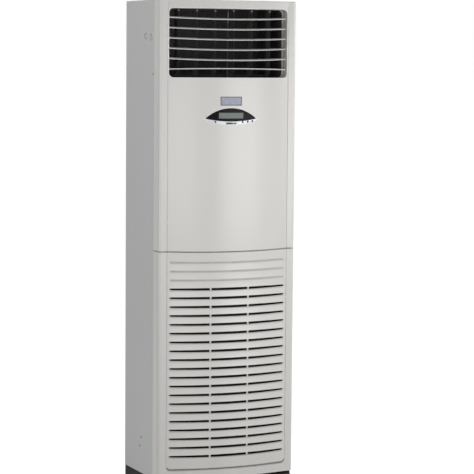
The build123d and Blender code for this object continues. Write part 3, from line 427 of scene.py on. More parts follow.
def turned(bm, profile, centre, axis, steps, side=1):
    # spins (radius, reach) points about the X or Y axis through centre, looking to that side
    along = Vector((1, 0, 0) if axis == "X" else (0, 1, 0))
    points = [bm.verts.new(Vector(centre) + Vector((0, 0, 1)) * radius + along * (side * reach))
              for radius, reach in profile]
    chain = [bm.edges.new(pair) for pair in zip(points, points[1:])]
    bmesh.ops.spin(bm, geom=points + chain, cent=centre, axis=along, angle=2 * math.pi,
                   steps=steps, use_merge=True)
    mergeDoubles(bm)


def newBlock(bm, matrix):
    before = set(bm.verts)
    bmesh.ops.create_cube(bm, size=1, matrix=matrix)
    return [v for v in bm.verts if v not in before]


def addBlock(bm, low, high, rounding):
    low, high = Vector(low), Vector(high)
    fresh = newBlock(bm, Matrix.Translation((low + high) / 2)
                     @ Matrix.Diagonal((*(high - low), 1)))
    if rounding:
        roundOff(bm, list({e for v in fresh for e in v.link_edges}), rounding, 2)
    return fresh


def addRod(bm, start, end, radius, segments=16):
    start, end = Vector(start), Vector(end)
    turn = (end - start).to_track_quat("Z", "Y").to_matrix().to_4x4()
    bmesh.ops.create_cone(bm, cap_ends=True, segments=segments, radius1=radius,
                          radius2=radius, depth=(end - start).length,
                          matrix=Matrix.Translation((start + end) / 2) @ turn)


def halfOutline(bm, z, bowSteps):
    # plan of the right half, from the middle of the bow to the back of the wing
    middle = bm.verts.new((0, case["frontY"], z))
    half = case["grooveWidth"] / 2
    floor = half * 0.6  # half width of the groove's floor
    bmesh.ops.spin(bm, geom=[middle], cent=(0, case["bowCentre"], z), axis=(0, 0, 1),
                   angle=math.asin((case["creaseHalf"] - half) / case["bowRadius"]),
                   steps=bowSteps)
    last = max(bm.verts, key=lambda v: v.co.x)
    for x in (case["creaseHalf"] - floor, case["creaseHalf"] + floor,
              case["creaseHalf"] + half, case["halfWidth"] - case["cornerRadius"]):
        last = bmesh.ops.extrude_vert_indiv(bm, verts=[last])["verts"][0]
        last.co = (x, min(bowY(x), case["creaseY"]), z)
    bmesh.ops.spin(bm, geom=[last],
                   cent=(last.co.x, case["creaseY"] + case["cornerRadius"], z),
                   axis=(0, 0, 1), angle=math.pi / 2, steps=case["cornerSteps"])
    corner = max(bm.verts, key=lambda v: v.co.x)
    wing = bmesh.ops.extrude_vert_indiv(bm, verts=[corner])["verts"][0]
    wing.co.y = case["wingBack"] - case["wingGap"]


def mouldedFront(heights, bowSteps=40):
    bm = bmesh.new()
    halfOutline(bm, heights[0], bowSteps)
    rim = bm.edges[:]
    for low, high in zip(heights, heights[1:]):
        grown = bmesh.ops.extrude_edge_only(bm, edges=rim)["geom"]
        bmesh.ops.translate(bm, verts=verts(grown), vec=(0, 0, high - low))
        rim = [e for e in edges(grown) if abs(e.verts[0].co.z - e.verts[1].co.z) < level]
    bmesh.ops.mirror(bm, geom=everything(bm), matrix=Matrix.Identity(4), merge_dist=weld,
                     axis="X")
    mergeDoubles(bm)
    return faceForward(bm)


def thickWall(piece, sharp):
    # gives the skin its wall, and returns its outer face's points, for sinking the grooves
    outer = len(piece.data.vertices)
    wall = piece.modifiers.new("wall", "SOLIDIFY")
    wall.thickness = case["wall"]
    wall.offset = -1
    bakeModifiers(piece, sharp)
    return piece.data.vertices[:outer]


def creaseGroove(x, z, foot=0.0):
    near = abs(abs(x) - case["creaseHalf"]) < case["grooveWidth"] * 0.4
    return case["grooveDepth"] if near and foot < z < case["top"] - case["grooveTop"] else 0.0


def midSpan(x):  # 1 in the middle of the bow, 0 at the creases and beyond
    return max(1 - (x / case["creaseHalf"]) ** 2, 0.0)


# upper front: skin with a lid, the outlet's collar and the openings behind the display

outlet = {
    "halfWidth": 0.232, "low": 1.531, "high": 1.779, "radius": 0.016, "collarBack": -0.11,
    "lip": 0.0034, "lipOverlap": 0.0004, "collarWall": 0.0024, "cornerSteps": 8, "bowCuts": 24,
    "bands": (0.006, 0.027, 0.037),
}
outlet["middle"] = (outlet["low"] + outlet["high"]) / 2
outlet["height"] = outlet["high"] - outlet["low"]
skin = {
    "rows": (1.1, 1.3, 1.5, 1.7), "sagFrom": 1.3, "lidRoll": 0.003, "edgeRoll": 0.0006,
    "cutLead": 0.01, "cutDepth": 0.05,
}
display = {
    "lens": (0.1, 1.382, 0.038, 0.0105), "lensRoll": 0.0009, "lensPlay": 0.0002,
    "bezel": (0.116, 1.381, 0.0095, 0.023), "bezelRoll": 0.0004, "glue": 0.00005,
    "proud": 0.0012, "window": (0.097, 0.021), "windowCentre": 1.393, "windowCorner": 0.0016,
    "windowPlay": 0.001, "cutLead": 0.005, "cutDepth": 0.03, "sharp": 40,
    "keys": 4, "keyRadius": 0.0034, "keyGap": 0.00025, "powerCorner": 0.0034,
}
powerKey = {
    "halfWidth": 0.021, "halfHeight": 0.0035, "corner": 0.98, "depth": 0.0042, "roll": 0.0026,
    "slice": 0.003, "flange": 0.001, "darkBelow": 0.3, "glint": (0.002, 0.015),
}


def atTop(v):
    return abs(v.co.z - case["top"]) < weld


def frontSkin():
    bm = mouldedFront([case["seamHigh"], case["seamHigh"] + case["seamBand"], *skin["rows"],
                       case["top"]])
    lidRim = [e for e in bm.edges if e.is_boundary and all(map(atTop, e.verts))]
    ends = sorted((v for v in bm.verts if atTop(v) and v.co.y > case["wingBack"] - 0.001),
                  key=lambda v: v.co.x)
    closing = bm.edges.new((ends[0], ends[-1]))
    bmesh.ops.edgeloop_fill(bm, edges=lidRim + [closing])
    faceForward(bm)
    roll = [e for e in bm.edges if len(e.link_faces) == 2 and all(map(atTop, e.verts))]
    roundOff(bm, roll, skin["lidRoll"], 3)
    return bm


def outletCutter():
    reach = outlet["lip"] - outlet["lipOverlap"]
    return solidPlate((0, case["frontY"] - skin["cutLead"], outlet["middle"]),
                      2 * (outlet["halfWidth"] + reach), outlet["height"] + 2 * reach,
                      outlet["radius"] + reach, skin["cutDepth"], outlet["cornerSteps"])


def displayCutter():  # openings for the display's window and for the five buttons
    bm = bmesh.new()
    front = case["frontY"] - display["cutLead"]
    gap = display["keyGap"]
    width, height = (side + display["windowPlay"] for side in display["window"])
    roundedPlate(bm, (0, front, display["windowCentre"]), width, height, 0)
    roundedPlate(bm, (0, front, boxMiddle("power_button").z),
                 2 * (powerKey["halfWidth"] + gap), 2 * (powerKey["halfHeight"] + gap),
                 display["powerCorner"])
    thicken(bm, display["cutDepth"])
    for number in range(1, display["keys"] + 1):
        middle = boxMiddle(f"control_button_{number}")
        addRod(bm, (middle.x, front + display["cutDepth"], middle.z),
               (middle.x, front, middle.z), display["keyRadius"] + gap, 24)
    return bm


def collarRings():
    # every ring starts as a copy of the flat outline, so that each knows its own corner
    lip, wall = outlet["lip"], outlet["collarWall"]
    # how far each ring stands outside the opening, and how far behind the bow or at the back
    profile = [(lip + 0.0016, 0.0012), (lip, -0.0002), (lip * 0.66, -0.0004),
               (lip * 0.30, 0.0), (lip * 0.08, 0.0011), (0, 0.0028), (0, 0.006),
               (0, 0.0268), (0.0009, 0.0272), (0.0009, 0.0368), (0, 0.0372), (0, None),
               (wall, None), (wall, 0.006)]
    bm = bmesh.new()
    middle = outlet["middle"]
    roundedPlate(bm, (0, 0, middle), 2 * outlet["halfWidth"], outlet["height"],
                 outlet["radius"], outlet["cornerSteps"])
    long = [e for e in bm.edges if e.calc_length() > outlet["height"] / 2]
    bmesh.ops.subdivide_edges(bm, edges=long, cuts=outlet["bowCuts"])  # to follow the bow
    bmesh.ops.delete(bm, geom=bm.faces[:], context="FACES_ONLY")
    flatX = outlet["halfWidth"] - outlet["radius"]
    flatZ = outlet["height"] / 2 - outlet["radius"]
    loop, rings = bm.edges[:], [bm.verts[:]]
    for _ in profile[1:]:
        grown = bmesh.ops.extrude_edge_only(bm, edges=loop)["geom"]
        rings.append(verts(grown))
        loop = [e for e in edges(grown) if all(v in rings[-1] for v in e.verts)]
    for ring, (offset, depth) in zip(rings, profile):
        for v in ring:
            x, z = v.co.x, v.co.z - middle
            core = Vector((min(max(x, -flatX), flatX), 0, min(max(z, -flatZ), flatZ)))
            outward = (Vector((x, 0, z)) - core).normalized()
            place = core + outward * (outlet["radius"] + offset)
            back = outlet["collarBack"] if depth is None else bowY(place.x) + depth
            v.co = (place.x, back, place.z + middle)
    return faceOut(bm)


front = makePiece("frontPanel", frontSkin(), "front_panel", more=["painted_shade_band"])
for v in thickWall(front, 35):
    v.co.y += creaseGroove(v.co.x, v.co.z)
# painted shade along the panel's foot, beside the seam
for face in front.data.polygons:
    face.material_index = int(face.center.z < case["seamHigh"] + case["seamBand"])
for v in front.data.vertices:  # the seam sags a little towards the middle
    v.co.z -= (case["seamSag"] * midSpan(v.co.x)
               * fade(-v.co.z, -skin["sagFrom"], -case["seamHigh"]))
edge = front.modifiers.new("edge", "BEVEL")
edge.width = skin["edgeRoll"]
edge.segments = 2
edge.limit_method = "ANGLE"
edge.angle_limit = math.radians(50)
bakeModifiers(front)
cutWith(front, outletCutter())
cutWith(front, displayCutter())
print("front panel:", len(front.data.polygons), "faces")

rim = makePiece("outletCollar", collarRings(), "front_panel", first="rim_painted_highlight",
                more=["jamb_plastic", "jamb_painted_shade_line", "jamb_painted_light"])
for face in rim.data.polygons:  # painted light and shade on the collar: a painted highlight on the lip, painted shade on the inside wall with a darker painted line at its step, and a paler band of painted light further in
    deep = face.center.y - bowY(face.center.x)
    face.material_index = sum(deep > limit for limit in outlet["bands"])
print("outlet collar:", len(rim.data.polygons), "faces")


# intake grille: rows of slots between slats that lean out at their foot

grille = {
    "slots": 20, "firstSlot": 0.7634, "pitch": 0.0324, "slotHeight": 0.0076,
    "slotCorner": 0.0012, "swell": 1.2, "taper": 0.005, "halfSpan": 0.227, "ribPlace": 0.074,
    "ribWidth": 0.0062, "lean": 0.0024, "leanCurve": 1.7, "blindRows": 3, "blindLean": 0.0014,
    "blindHalf": 0.0018, "blindDepth": 0.0018, "blindBand": 0.0052, "footGroove": 0.0496,
    "footHalf": 0.0021, "footDepth": 0.0026, "footCorner": 0.015, "shadeBand": 0.003,
    "faceDepth": 0.0029, "sag": 0.003, "slice": 0.009, "cutLead": 0.01, "cutDepth": 0.06,
    "sharp": 28,
}
grille["plainHalf"] = grille["slotHeight"] / 2
grille["slotHalf"] = grille["plainHalf"] * grille["swell"]
grille["footLine"] = (grille["firstSlot"] - (grille["slots"] - 1) * grille["pitch"]
                      - grille["footGroove"])


def rowAt(z):  # number of the row nearest to z, counted down, and its height
    row = math.floor((grille["firstSlot"] - z) / grille["pitch"] + 0.5)
    return row, grille["firstSlot"] - row * grille["pitch"]


def halfOf(row):  # half height of a slot, or of a blind groove over the slots
    return grille["slotHalf"] if row >= 0 else grille["blindHalf"]


def grooveHeights(height, half):
    return [height + offset for offset in (-half - 0.0003, -half, half, half + 0.0003)]


def grilleHeights():  # where the skin has a row of points, from foot to seam
    low, high, foot = case["foot"], case["seamLow"], grille["footLine"]
    heights = [low, low + 0.012, high - 0.008, high - case["seamBand"], high]
    for row in range(-grille["blindRows"], grille["slots"]):
        slot = grille["firstSlot"] - row * grille["pitch"]
        edge = halfOf(row)
        heights += grooveHeights(slot, edge)
        if row >= 0:
            heights.append(slot - edge - grille["shadeBand"])
        else:
            heights += [slot - grille["blindBand"], slot + grille["blindBand"]]
        heights += [slot - edge - part * (grille["pitch"] - edge - grille["plainHalf"])
                    for part in (0.25, 0.5, 0.75)]
    heights += grooveHeights(foot, grille["footHalf"])
    for away in (grille["footHalf"] + grille["shadeBand"], 0.009, 0.016):
        heights += [foot + away, foot - away]
    kept = []
    for height in sorted(heights):
        if not kept or height - kept[-1] > 0.0002:
            kept.append(height)
    return kept


def bend(x, z):
    # height change: rows sag in the middle, the foot groove turns up into each crease
    sag = grille["sag"] * fade(z, case["foot"], case["foot"] + 0.06)
    sag += (case["seamSag"] - grille["sag"]) * fade(z, 0.80, case["seamLow"])
    radius = grille["footCorner"]
    inward = min(max(abs(x) - case["creaseHalf"] + radius, 0.0), radius)
    rise = radius - math.sqrt(radius ** 2 - inward ** 2)
    above = z - grille["footLine"]
    reach = 1 - fade(abs(above), 0.003, 0.04 if above > 0 else 0.03)
    return rise * reach * (abs(x) < case["creaseHalf"] + 0.001) - sag * midSpan(x)


def recess(x, z):
    # how far the grille's face stands behind the bow at x and z
    if abs(z - grille["footLine"]) < grille["footHalf"] + 0.0001:
        inside = abs(x) < case["creaseHalf"] - case["grooveWidth"] * 0.4
        return grille["footDepth"] if inside else 0.0
    row, slot = rowAt(z)
    above = z > slot
    if row < -grille["blindRows"] or row >= grille["slots"]:
        return 0.0
    across = 1 - fade(abs(x), grille["halfSpan"] - 0.004, grille["halfSpan"] + 0.003)
    half = halfOf(row)
    if row < 0 and abs(z - slot) < half + 0.0001:
        return across * grille["blindDepth"]
    if row == (-grille["blindRows"] if above else grille["slots"] - 1):
        return 0.0
    # the slat that this height belongs to runs from the foot of one slot to the next
    top = slot + grille["pitch"] - half if above else slot - half
    part = min(max((top - z) / (grille["pitch"] - 2 * half), 0.0), 1.0)
    depth = grille["lean"] if row - above >= 0 else grille["blindLean"]
    return across * depth * (1 - part ** grille["leanCurve"])


def paintedShadeAt(x, z):
    # finish of the face, all painted shade: 1 dark in the foot groove, 2 lighter in the seam,
    # beside the foot groove, under the slots and in the blind grooves, 3 faintest beside the
    # blind grooves
    if z > case["seamLow"] - case["seamBand"]:
        return 2
    away = abs(z - grille["footLine"])
    if away < grille["footHalf"] + grille["shadeBand"] and abs(x) < case["creaseHalf"]:
        return 1 if away < grille["footHalf"] else 2
    if abs(x) > grille["halfSpan"]:
        return 0
    row, slot = rowAt(z)
    if -grille["blindRows"] <= row < 0:
        away = abs(z - slot)
        if away > grille["blindBand"] or abs(x) > grille["halfSpan"] - away:
            return 0
        return 2 if away < grille["blindHalf"] else 3
    under = slot - grille["slotHalf"] - z
    return 2 if 0 <= row < grille["slots"] and 0 < under < grille["shadeBand"] else 0


def slotSwell(x):  # half height of a slot at x, over its plain half height
    end = max(grille["halfSpan"] - abs(x), 0.0) / grille["taper"]
    return grille["swell"] * (1 - 0.3 * (x / grille["halfSpan"]) ** 2) * min(1, end) ** 0.3


def slotCutter():
    bm = bmesh.new()
    inner = grille["ribPlace"] - grille["ribWidth"] / 2
    outer = grille["ribPlace"] + grille["ribWidth"] / 2
    end, first = grille["halfSpan"], grille["firstSlot"]
    for left, right in ((-end, -outer), (-inner, inner), (outer, end)):
        roundedPlate(bm, ((left + right) / 2, case["frontY"] - grille["cutLead"], first),
                     right - left, grille["slotHeight"], grille["slotCorner"], 3)
    sliceAlongX(bm, grille["slice"])
    for v in bm.verts:
        v.co.z = first + (v.co.z - first) * slotSwell(v.co.x)
        v.co.z -= grille["sag"] * midSpan(v.co.x)
    mergeDoubles(bm)
    thicken(bm, grille["cutDepth"])
    row = everything(bm)
    for index in range(1, grille["slots"]):
        copy = bmesh.ops.duplicate(bm, geom=row)["geom"]
        bmesh.ops.translate(bm, verts=verts(copy), vec=(0, 0, -index * grille["pitch"]))
    return bm


grilleFront = makePiece("intakeGrille", mouldedFront(grilleHeights(), bowSteps=44),
                        "intake_grille", "grille", grille["sharp"],
                        more=["groove_painted_shade", "painted_shade_band", "blind_shade"])
for v in thickWall(grilleFront, grille["sharp"]):
    v.co.y += recess(v.co.x, v.co.z)
    v.co.y += creaseGroove(v.co.x, v.co.z, grille["footLine"] + grille["footCorner"] * 0.6)
# painted shade on the grille's face: in the seam, the grooves and under the slots
for face in grilleFront.data.polygons:
    x, y, z = face.center
    if y < bowY(min(abs(x), case["creaseHalf"])) + grille["faceDepth"]:
        face.material_index = paintedShadeAt(x, z)
for v in grilleFront.data.vertices:
    v.co.z += bend(v.co.x, v.co.z)
cutWith(grilleFront, slotCutter(), grille["sharp"])
print("intake grille:", len(grilleFront.data.polygons), "faces")


# six bowed blades, each tilted about its end pins

blades = {
    "count": 6, "half": 0.229, "chord": 0.02, "thick": 0.003, "roundness": 0.42,
    "slice": 0.012, "tilt": 12, "lastTilt": -6, "axisY": -0.144, "middle": 1.655,
    "spacing": 0.037, "lastDrop": 0.0025, "bossRadius": 0.0045, "bossLength": 0.003,
    "pinRadius": 0.002, "reach": 0.2344,
}


def louverBlade(index):
    bm = bmesh.new()
    half, radius = blades["half"], case["bowRadius"]
    block = newBlock(bm, Matrix.Diagonal((2 * half, blades["chord"], blades["thick"], 1)))
    long = {e for v in block for e in v.link_edges if e.calc_length() > half}
    roundOff(bm, list(long), blades["thick"] * blades["roundness"], 3)
    sliceAlongX(bm, blades["slice"])
    flat = math.sqrt(radius ** 2 - half ** 2)
    for v in bm.verts:
        v.co.y -= math.sqrt(radius ** 2 - v.co.x ** 2) - flat
    for s in (-1, 1):
        end = (s * half, 0, 0)
        addRod(bm, (end[0] - s * blades["bossLength"], 0, 0), end, blades["bossRadius"], 20)
        addRod(bm, end, (s * blades["reach"], 0, 0), blades["pinRadius"])
    last = index == blades["count"] - 1
    tilt = blades["lastTilt"] if last else blades["tilt"]
    bmesh.ops.rotate(bm, verts=bm.verts[:], cent=(0, 0, 0),
                     matrix=Matrix.Rotation(math.radians(tilt), 3, "X"))
    height = blades["middle"] + ((blades["count"] - 1) / 2 - index) * blades["spacing"]
    height -= blades["lastDrop"] if last else 0
    bmesh.ops.translate(bm, verts=bm.verts[:], vec=(0, blades["axisY"], height))
    return faceOut(bm)


for number in range(blades["count"]):
    makePiece(f"louverBlade{number + 1}", louverBlade(number), f"louver_blade_{number + 1}",
              f"blade_{number + 1}", sharp=40)
print("blades:", blades["count"])


# six upright vanes behind the blades, with painted highlights on pale heads at their front top
# corners

vanes = {
    "count": 6, "spacing": 0.072, "axisY": -0.1, "chord": 0.042, "thick": 0.002,
    "low": 1.545, "high": 1.776, "rounding": 0.0008, "pinRadius": 0.0025, "pinDepth": 0.004,
    "footPin": 1.528, "headPin": 1.782, "motorPin": 1.791, "crankThrow": 0.018,
    "crankRadius": 0.002, "crankFoot": 1.536, "headDepth": 0.008, "headHeight": 0.0065,
    "headThick": 0.005, "headRounding": 0.0006,
}


def paintNew(bm, old):  # faces that aren't in old take the second finish
    for face in bm.faces:
        face.material_index = int(face not in old)
    return bm


def airVane(index):
    x = (index - (vanes["count"] - 1) / 2) * vanes["spacing"]
    axis, low, high = vanes["axisY"], vanes["low"], vanes["high"]
    front = axis - vanes["chord"] / 2
    crank = axis + vanes["crankThrow"]
    top = vanes["motorPin"] if index == 0 else vanes["headPin"]
    half = vanes["thick"] / 2
    bm = bmesh.new()
    addBlock(bm, (x - half, front, low), (x + half, front + vanes["chord"], high),
             vanes["rounding"])
    for y, start, end, radius in (
            (axis, vanes["footPin"], low + vanes["pinDepth"], vanes["pinRadius"]),
            (axis, low, top, vanes["pinRadius"]),
            (crank, vanes["crankFoot"], low + vanes["pinDepth"], vanes["crankRadius"])):
        addRod(bm, (x, y, start), (x, y, end), radius)
    body = set(bm.faces)
    half = vanes["headThick"] / 2
    addBlock(bm, (x - half, front, high - vanes["headHeight"]),
             (x + half, front + vanes["headDepth"], high), vanes["headRounding"])
    return paintNew(bm, body)


for number in range(vanes["count"]):
    makePiece(f"airVane{number + 1}", airVane(number), f"air_vane_{number + 1}",
              f"vane_{number + 1}", more=["vane_head"])
print("vanes:", vanes["count"])


# upright strut in the middle, with a painted highlight streak near its head

strut = {"paleLow": 1.728, "paleHigh": 1.766, "paleHalf": 0.0007, "paleProud": 0.0006,
         "slant": 0.0011, "rounding": 0.0007}


def louverStrut():
    low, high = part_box("louver_strut")
    bm = bmesh.new()
    addBlock(bm, (low.x, low.y + strut["paleProud"], low.z), high, strut["rounding"])
    dark = set(bm.faces)
    streak = addBlock(bm, (-strut["paleHalf"], low.y, strut["paleLow"]),
                      (strut["paleHalf"], low.y + 2 * strut["paleProud"], strut["paleHigh"]), 0)
    middle = (strut["paleLow"] + strut["paleHigh"]) / 2
    for v in streak:  # the painted highlight leans a little, as the light does
        v.co.x += strut["slant"] * (1 if v.co.z > middle else -1)
    return paintNew(bm, dark)


makePiece("louverStrut", louverStrut(), "louver_strut", first="vane_dark", more=["vane_head"])


# display: domed black lens, silver crescent with its buttons, bare framed plate

def arcBetween(bm, half, tip, rise):
    # arc in the XZ plane from the left tip over rise (under it when negative) to the right tip
    radius = (half ** 2 + rise ** 2) / (2 * abs(rise))
    side = 1 if rise > 0 else -1
    start = bm.verts.new((-half, 0, tip))
    bmesh.ops.spin(bm, geom=[start], cent=(0, 0, tip + rise - side * radius), axis=(0, 1, 0),
                   angle=side * 2 * math.asin(half / radius), steps=48)


def wrapped(bm, step=0.006):  # sliced and laid on the bow
    sliceAlongX(bm, step)
    for v in bm.verts:
        v.co.y += bowY(v.co.x)
    return bm


def almondPlate(outline, near, far, roll=0):
    # almond with this half width, tips' height, rise and drop, from near to far behind the bow
    half, tip, rise, drop = outline
    bm = bmesh.new()
    arcBetween(bm, half, tip, rise)
    arcBetween(bm, half, tip, -drop)
    mergeDoubles(bm, 2e-5)
    bmesh.ops.edgeloop_fill(bm, edges=bm.edges[:])
    bmesh.ops.translate(bm, verts=bm.verts[:], vec=(0, near, 0))
    thicken(bm, far - near)
    if roll:
        softenFront(bm, roll)
    return wrapped(bm)


def windowCutter(width, height, centre, radius):
    return wrapped(solidPlate((0, -cutReach, centre), width, height, radius, 2 * cutReach, 5))


def smallPlate(node, near, far, roll, radius):
    low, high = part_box(node)
    middle = boxMiddle(node)
    bm = solidPlate((middle.x, near, middle.z), high.x - low.x, high.z - low.z, radius,
                    far - near)
    softenFront(bm, roll)
    return wrapped(bm)


cutReach = 0.01  # how far a cutter stands out at both sides of the bow
glued, proud = -display["glue"], display["proud"]
lens = makePiece("displayLens", almondPlate(display["lens"], -proud, glued,
                                            display["lensRoll"]),
                 "display_lens", sharp=display["sharp"])
cutWith(lens, windowCutter(*display["window"], display["windowCentre"],
                           display["windowCorner"]), display["sharp"])
makePiece("lcdPanel", smallPlate("lcd_panel", -0.0004, 0.003, 0.0003, 0.0014), "lcd_panel")
print("lens and display window")

bezel = makePiece("displayBezel", almondPlate(display["bezel"], -proud / 2, glued,
                                              display["bezelRoll"]),
                  "display_bezel", sharp=display["sharp"])
half, tip, rise, drop = display["lens"]
play = display["lensPlay"]
cutWith(bezel, almondPlate((half + play, tip, rise, drop + play), -cutReach, cutReach),
        display["sharp"])
cutWith(bezel, displayCutter(), display["sharp"])


def pushButton(node):
    # domed cap with a retaining flange behind the panel
    low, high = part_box(node)
    middle = boxMiddle(node)
    front, back = low.y, high.y
    radius, flange = display["keyRadius"], (high.x - low.x) / 2
    profile = [(0, front), (radius * 0.5, front + 0.00012), (radius * 0.82, front + 0.0004),
               (radius, front + 0.001), (radius, back - 0.001), (flange, back - 0.001),
               (flange, back), (0, back)]
    bm = bmesh.new()
    turned(bm, profile, (middle.x, 0, middle.z), "Y", 28)
    return faceOut(bm)


for number in range(1, display["keys"] + 1):
    node = f"control_button_{number}"
    makePiece(f"controlButton{number}", pushButton(node), node, f"button_{number}")


def powerButton():
    low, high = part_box("power_button")
    middle, half = boxMiddle("power_button").z, powerKey["halfHeight"]
    bm = solidPlate((0, -proud, middle), 2 * powerKey["halfWidth"], 2 * half,
                    half * powerKey["corner"], proud + powerKey["depth"], 8)
    softenFront(bm, powerKey["roll"], 6)
    wrapped(bm, powerKey["slice"])
    bmesh.ops.bisect_plane(bm, geom=everything(bm), dist=level, plane_co=(0, 0, middle),
                           plane_no=(0, 0, 1))
    bm.normal_update()
    left, right = powerKey["glint"]
    for face in bm.faces:  # painted shade and dark painted reflection on the faces that don't look up, under the pale upper edge, with a small pale patch left as a painted highlight
        spot = face.calc_center_median()
        glint = left < spot.x < right and spot.z > middle
        face.material_index = int(face.normal.z < powerKey["darkBelow"] and not glint)
    addBlock(bm, (low.x, high.y - powerKey["flange"], middle - half),
             (high.x, high.y, middle + half), 0)
    return bm


makePiece("powerButton", powerButton(), "power_button", "power_key", display["sharp"],
          more=["key_shade"])

badge = {"rim": 0.0006, "corner": 0.002, "fieldRim": 0.0002, "fieldCorner": 0.0008,
         "fieldSunk": 0.0005, "fieldPlay": 0.0004, "cutCorner": 0.001}
frameRim = makePiece("badgeFrame", smallPlate("badge_frame", -proud, glued, badge["rim"],
                                              badge["corner"]),
                     "badge_frame", first="frame_grey")
low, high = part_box("badge_inlay")
cutWith(frameRim, windowCutter(high.x - low.x + badge["fieldPlay"],
                               high.z - low.z + badge["fieldPlay"],
                               boxMiddle("badge_inlay").z, badge["cutCorner"]))
makePiece("badgeInlay", smallPlate("badge_inlay", badge["fieldSunk"] - proud, glued,
                                   badge["fieldRim"], badge["fieldCorner"]),
          "badge_inlay")
print("display group done")


# sheet metal round the case: merged copies of the CAD sheets with rolled edges

sheets = {
    "leftSide": ("left_side_panel", 0.0008), "rightSide": ("right_side_panel", 0.0008),
    "topCover": ("top_cover", 0.0005), "rearPanel": ("rear_panel", 0.0004),
    "basePlinth": ("base_plinth", 0.0009), "pipeUnions": ("flare_unions", 0.0006),
}


def softCopy(node, width):
    bm = bmesh.new()
    bm.from_mesh(cadNodes[node].data)
    mergeDoubles(bm)
    bmesh.ops.dissolve_limit(bm, angle_limit=math.radians(0.6), verts=bm.verts[:],
                             edges=bm.edges[:])
    rims = [e for e in bm.edges if len(e.link_faces) == 2
            and e.calc_face_angle(0) > math.radians(50)]
    roundOff(bm, rims, width, 2, clamp=True)
    return bm


for label, (node, width) in sheets.items():
    makePiece(label, softCopy(node, width), node)
print("sheets:", len(sheets))


# round plugs and cross-head screws

fittings = {
    "plugRadius": 0.015, "plugProud": 0.0012, "plugInner": 0.0127, "plugReach": 0.0042,
    "screwHead": 0.004, "screwProud": 0.0012, "screwShank": 0.0019, "screwLength": 0.008,
    "crossLength": 0.0044, "crossWidth": 0.0009, "crossDepth": 0.0008, "sharp": 45,
    "plugs": [(-0.077, 1.675), (-0.020, 1.679)],
    "sideScrews": [(-0.0984, 1.542), (0.0123, 0.194), (0.027, 0.160)],
    "rearScrewX": 0.262, "rearScrews": [0.12 + step * 0.4 for step in range(5)],
}


def plugSet():
    bm = bmesh.new()
    wide, out = fittings["plugRadius"], fittings["plugProud"]
    inner, reach = fittings["plugInner"], fittings["plugReach"]
    profile = [(0, out), (wide * 0.30, out * 0.9), (wide * 0.52, out * 0.4),
               (wide * 0.58, -0.0006), (wide * 0.62, -0.0026), (wide * 0.76, -0.0026),
               (wide * 0.79, out * 0.8), (wide * 0.88, out), (wide * 0.96, out * 0.8),
               (wide, 0.0002), (wide, 0.0), (inner, 0.0), (inner, -reach), (0, -reach)]
    for s in (-1, 1):
        for y, z in fittings["plugs"]:
            turned(bm, profile, (s * case["halfWidth"], y, z), "X", 40, s)
    return faceOut(bm)


def screwPlaces():  # where each screw's head sits, its axis and the side it looks to
    for s in (-1, 1):
        for y, z in fittings["sideScrews"]:
            yield (s * case["halfWidth"], y, z), "X", s
        for z in fittings["rearScrews"]:
            yield (s * fittings["rearScrewX"], case["rearY"], z), "Y", 1


def screwSet():
    bm = bmesh.new()
    head, out = fittings["screwHead"], fittings["screwProud"]
    shank, length = fittings["screwShank"], fittings["screwLength"]
    profile = [(0, out), (head * 0.55, out * 0.96), (head * 0.85, out * 0.7),
               (head, out * 0.2), (head, 0), (shank, 0), (shank, -length), (0, -length)]
    for place, axis, side in screwPlaces():
        turned(bm, profile, place, axis, 20, side)
    return faceOut(bm)


def crossCutter():
    bm = bmesh.new()
    long, thin = fittings["crossLength"] / 2, fittings["crossWidth"] / 2
    deep = fittings["crossDepth"]
    for place, axis, side in screwPlaces():
        middle = list(place)
        middle["XY".index(axis)] += side * fittings["screwProud"]
        for across, up in ((long, thin), (thin, long)):
            reach = (deep, across, up) if axis == "X" else (across, deep, up)
            addBlock(bm, [m - r for m, r in zip(middle, reach)],
                     [m + r for m, r in zip(middle, reach)], 0)
    return bm


makePiece("holePlugs", plugSet(), "hole_plugs", sharp=fittings["sharp"])
screws = makePiece("casingScrews", screwSet(), "casing_screws", sharp=fittings["sharp"])
cutWith(screws, crossCutter(), fittings["sharp"], crossing=True)
print("plugs and screws done")


# stage: the photograph's camera, a pale floor and six soft lamps

stage = {
    "place": (-2.94913, -7.22519, 1.59949), "focalPixels": 2096.3, "picture": 474,
    "sensor": 36, "sight": 1000, "yaw": 22.92, "pitch": 4.862, "roll": 0.452,
    "floorHalf": 400, "floorTone": 0.3, "floorGlow": 0.95, "worldLight": 0.2,
}


def addCamera():
    yaw, pitch, roll = (math.radians(stage[k]) for k in ("yaw", "pitch", "roll"))
    optics = bpy.data.cameras.new("camera")
    optics.sensor_width = stage["sensor"]
    optics.lens = stage["focalPixels"] * stage["sensor"] / stage["picture"]
    optics.clip_end = stage["sight"]
    camera = bpy.data.objects.new("camera", optics)
    camera.matrix_world = (Matrix.Translation(stage["place"]) @ Matrix.Rotation(-yaw, 4, "Z")
                           @ Matrix.Rotation(math.pi / 2 - pitch, 4, "X")
                           @ Matrix.Rotation(roll, 4, "Z"))
    scene.collection.objects.link(camera)
    scene.camera = camera


def seenDirectly(tree):  # 1 for what the camera sees, straight or by mirror and glass
    path = addNode(tree, "LightPath").outputs
    seen = maths(tree, "MAXIMUM", path["Is Camera Ray"], path["Is Glossy Ray"])
    return maths(tree, "MAXIMUM", seen, path["Is Transmission Ray"])


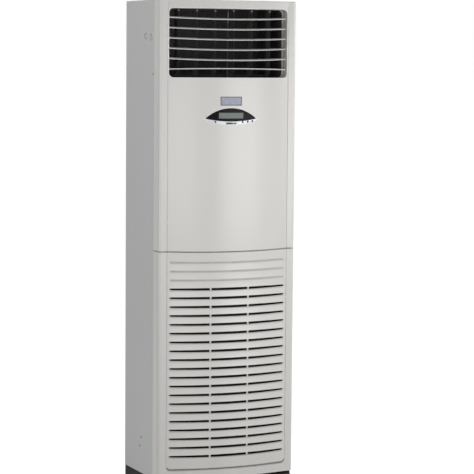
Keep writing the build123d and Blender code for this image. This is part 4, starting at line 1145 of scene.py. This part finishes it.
def addFloor():
    bm = bmesh.new()
    bmesh.ops.create_grid(bm, x_segments=1, y_segments=1, size=stage["floorHalf"])
    floor = newObject("floor", bm)
    pale = bpy.data.materials.new("paleFloor")
    tree = emptyTree(pale)
    diffuse = addNode(tree, "BsdfDiffuse",
                      {"Color": (stage["floorTone"],) * 3 + (1,), "Roughness": 1.0})
    strength = maths(tree, "MULTIPLY", seenDirectly(tree), stage["floorGlow"])
    glow = addNode(tree, "Emission", {"Color": (1, 1, 1, 1), "Strength": strength})
    both = addNode(tree, "AddShader", {0: diffuse.outputs[0], 1: glow.outputs[0]})
    addNode(tree, "OutputMaterial", {"Surface": both.outputs[0]})
    floor.data.materials.append(pale)


def addWorld():
    world = bpy.data.worlds.new("studio")
    tree = emptyTree(world)
    strength = addNode(tree, "MapRange",
                       {"Value": seenDirectly(tree), "To Min": stage["worldLight"],
                        "To Max": 1.0})
    sky = addNode(tree, "Background",
                  {"Color": (1, 1, 1, 1), "Strength": strength.outputs["Result"]})
    addNode(tree, "OutputWorld", {"Surface": sky.outputs[0]})
    scene.world = world


def addLamp(name, place, aim, size, power):
    lamp = bpy.data.lights.new(name, "AREA")
    lamp.shape = "RECTANGLE"
    lamp.size, lamp.size_y = size
    lamp.energy = power
    made = bpy.data.objects.new(name, lamp)
    turn = (Vector(aim) - Vector(place)).to_track_quat("-Z", "Y")
    made.matrix_world = Matrix.Translation(place) @ turn.to_matrix().to_4x4()
    scene.collection.objects.link(made)


addCamera()
addFloor()
addWorld()
addLamp("frontLeft", (-3.0, -2.6, 1.2), (0, 0, 0.9), (1.2, 1.4), 33.2)
addLamp("nearRight", (1.2, -2.4, 1.15), (0, -0.18, 1.05), (0.9, 0.9), 13)
addLamp("nearMiddle", (-0.3, -2.6, 1.2), (0, -0.18, 1.1), (0.9, 0.9), 9.2)
addLamp("leftHigh", (-2.4, 0.2, 3.4), (0, 0, 1.2), (1.6, 1.6), 17)
addLamp("right", (3.0, -1.4, 1.8), (0, 0, 1.2), (1.4, 1.8), 41)
addLamp("back", (0.6, 2.8, 3.7), (0, 0, 1.2), (1.8, 1.8), 40)
scene.view_settings.view_transform = "Standard"
print("stage ready")
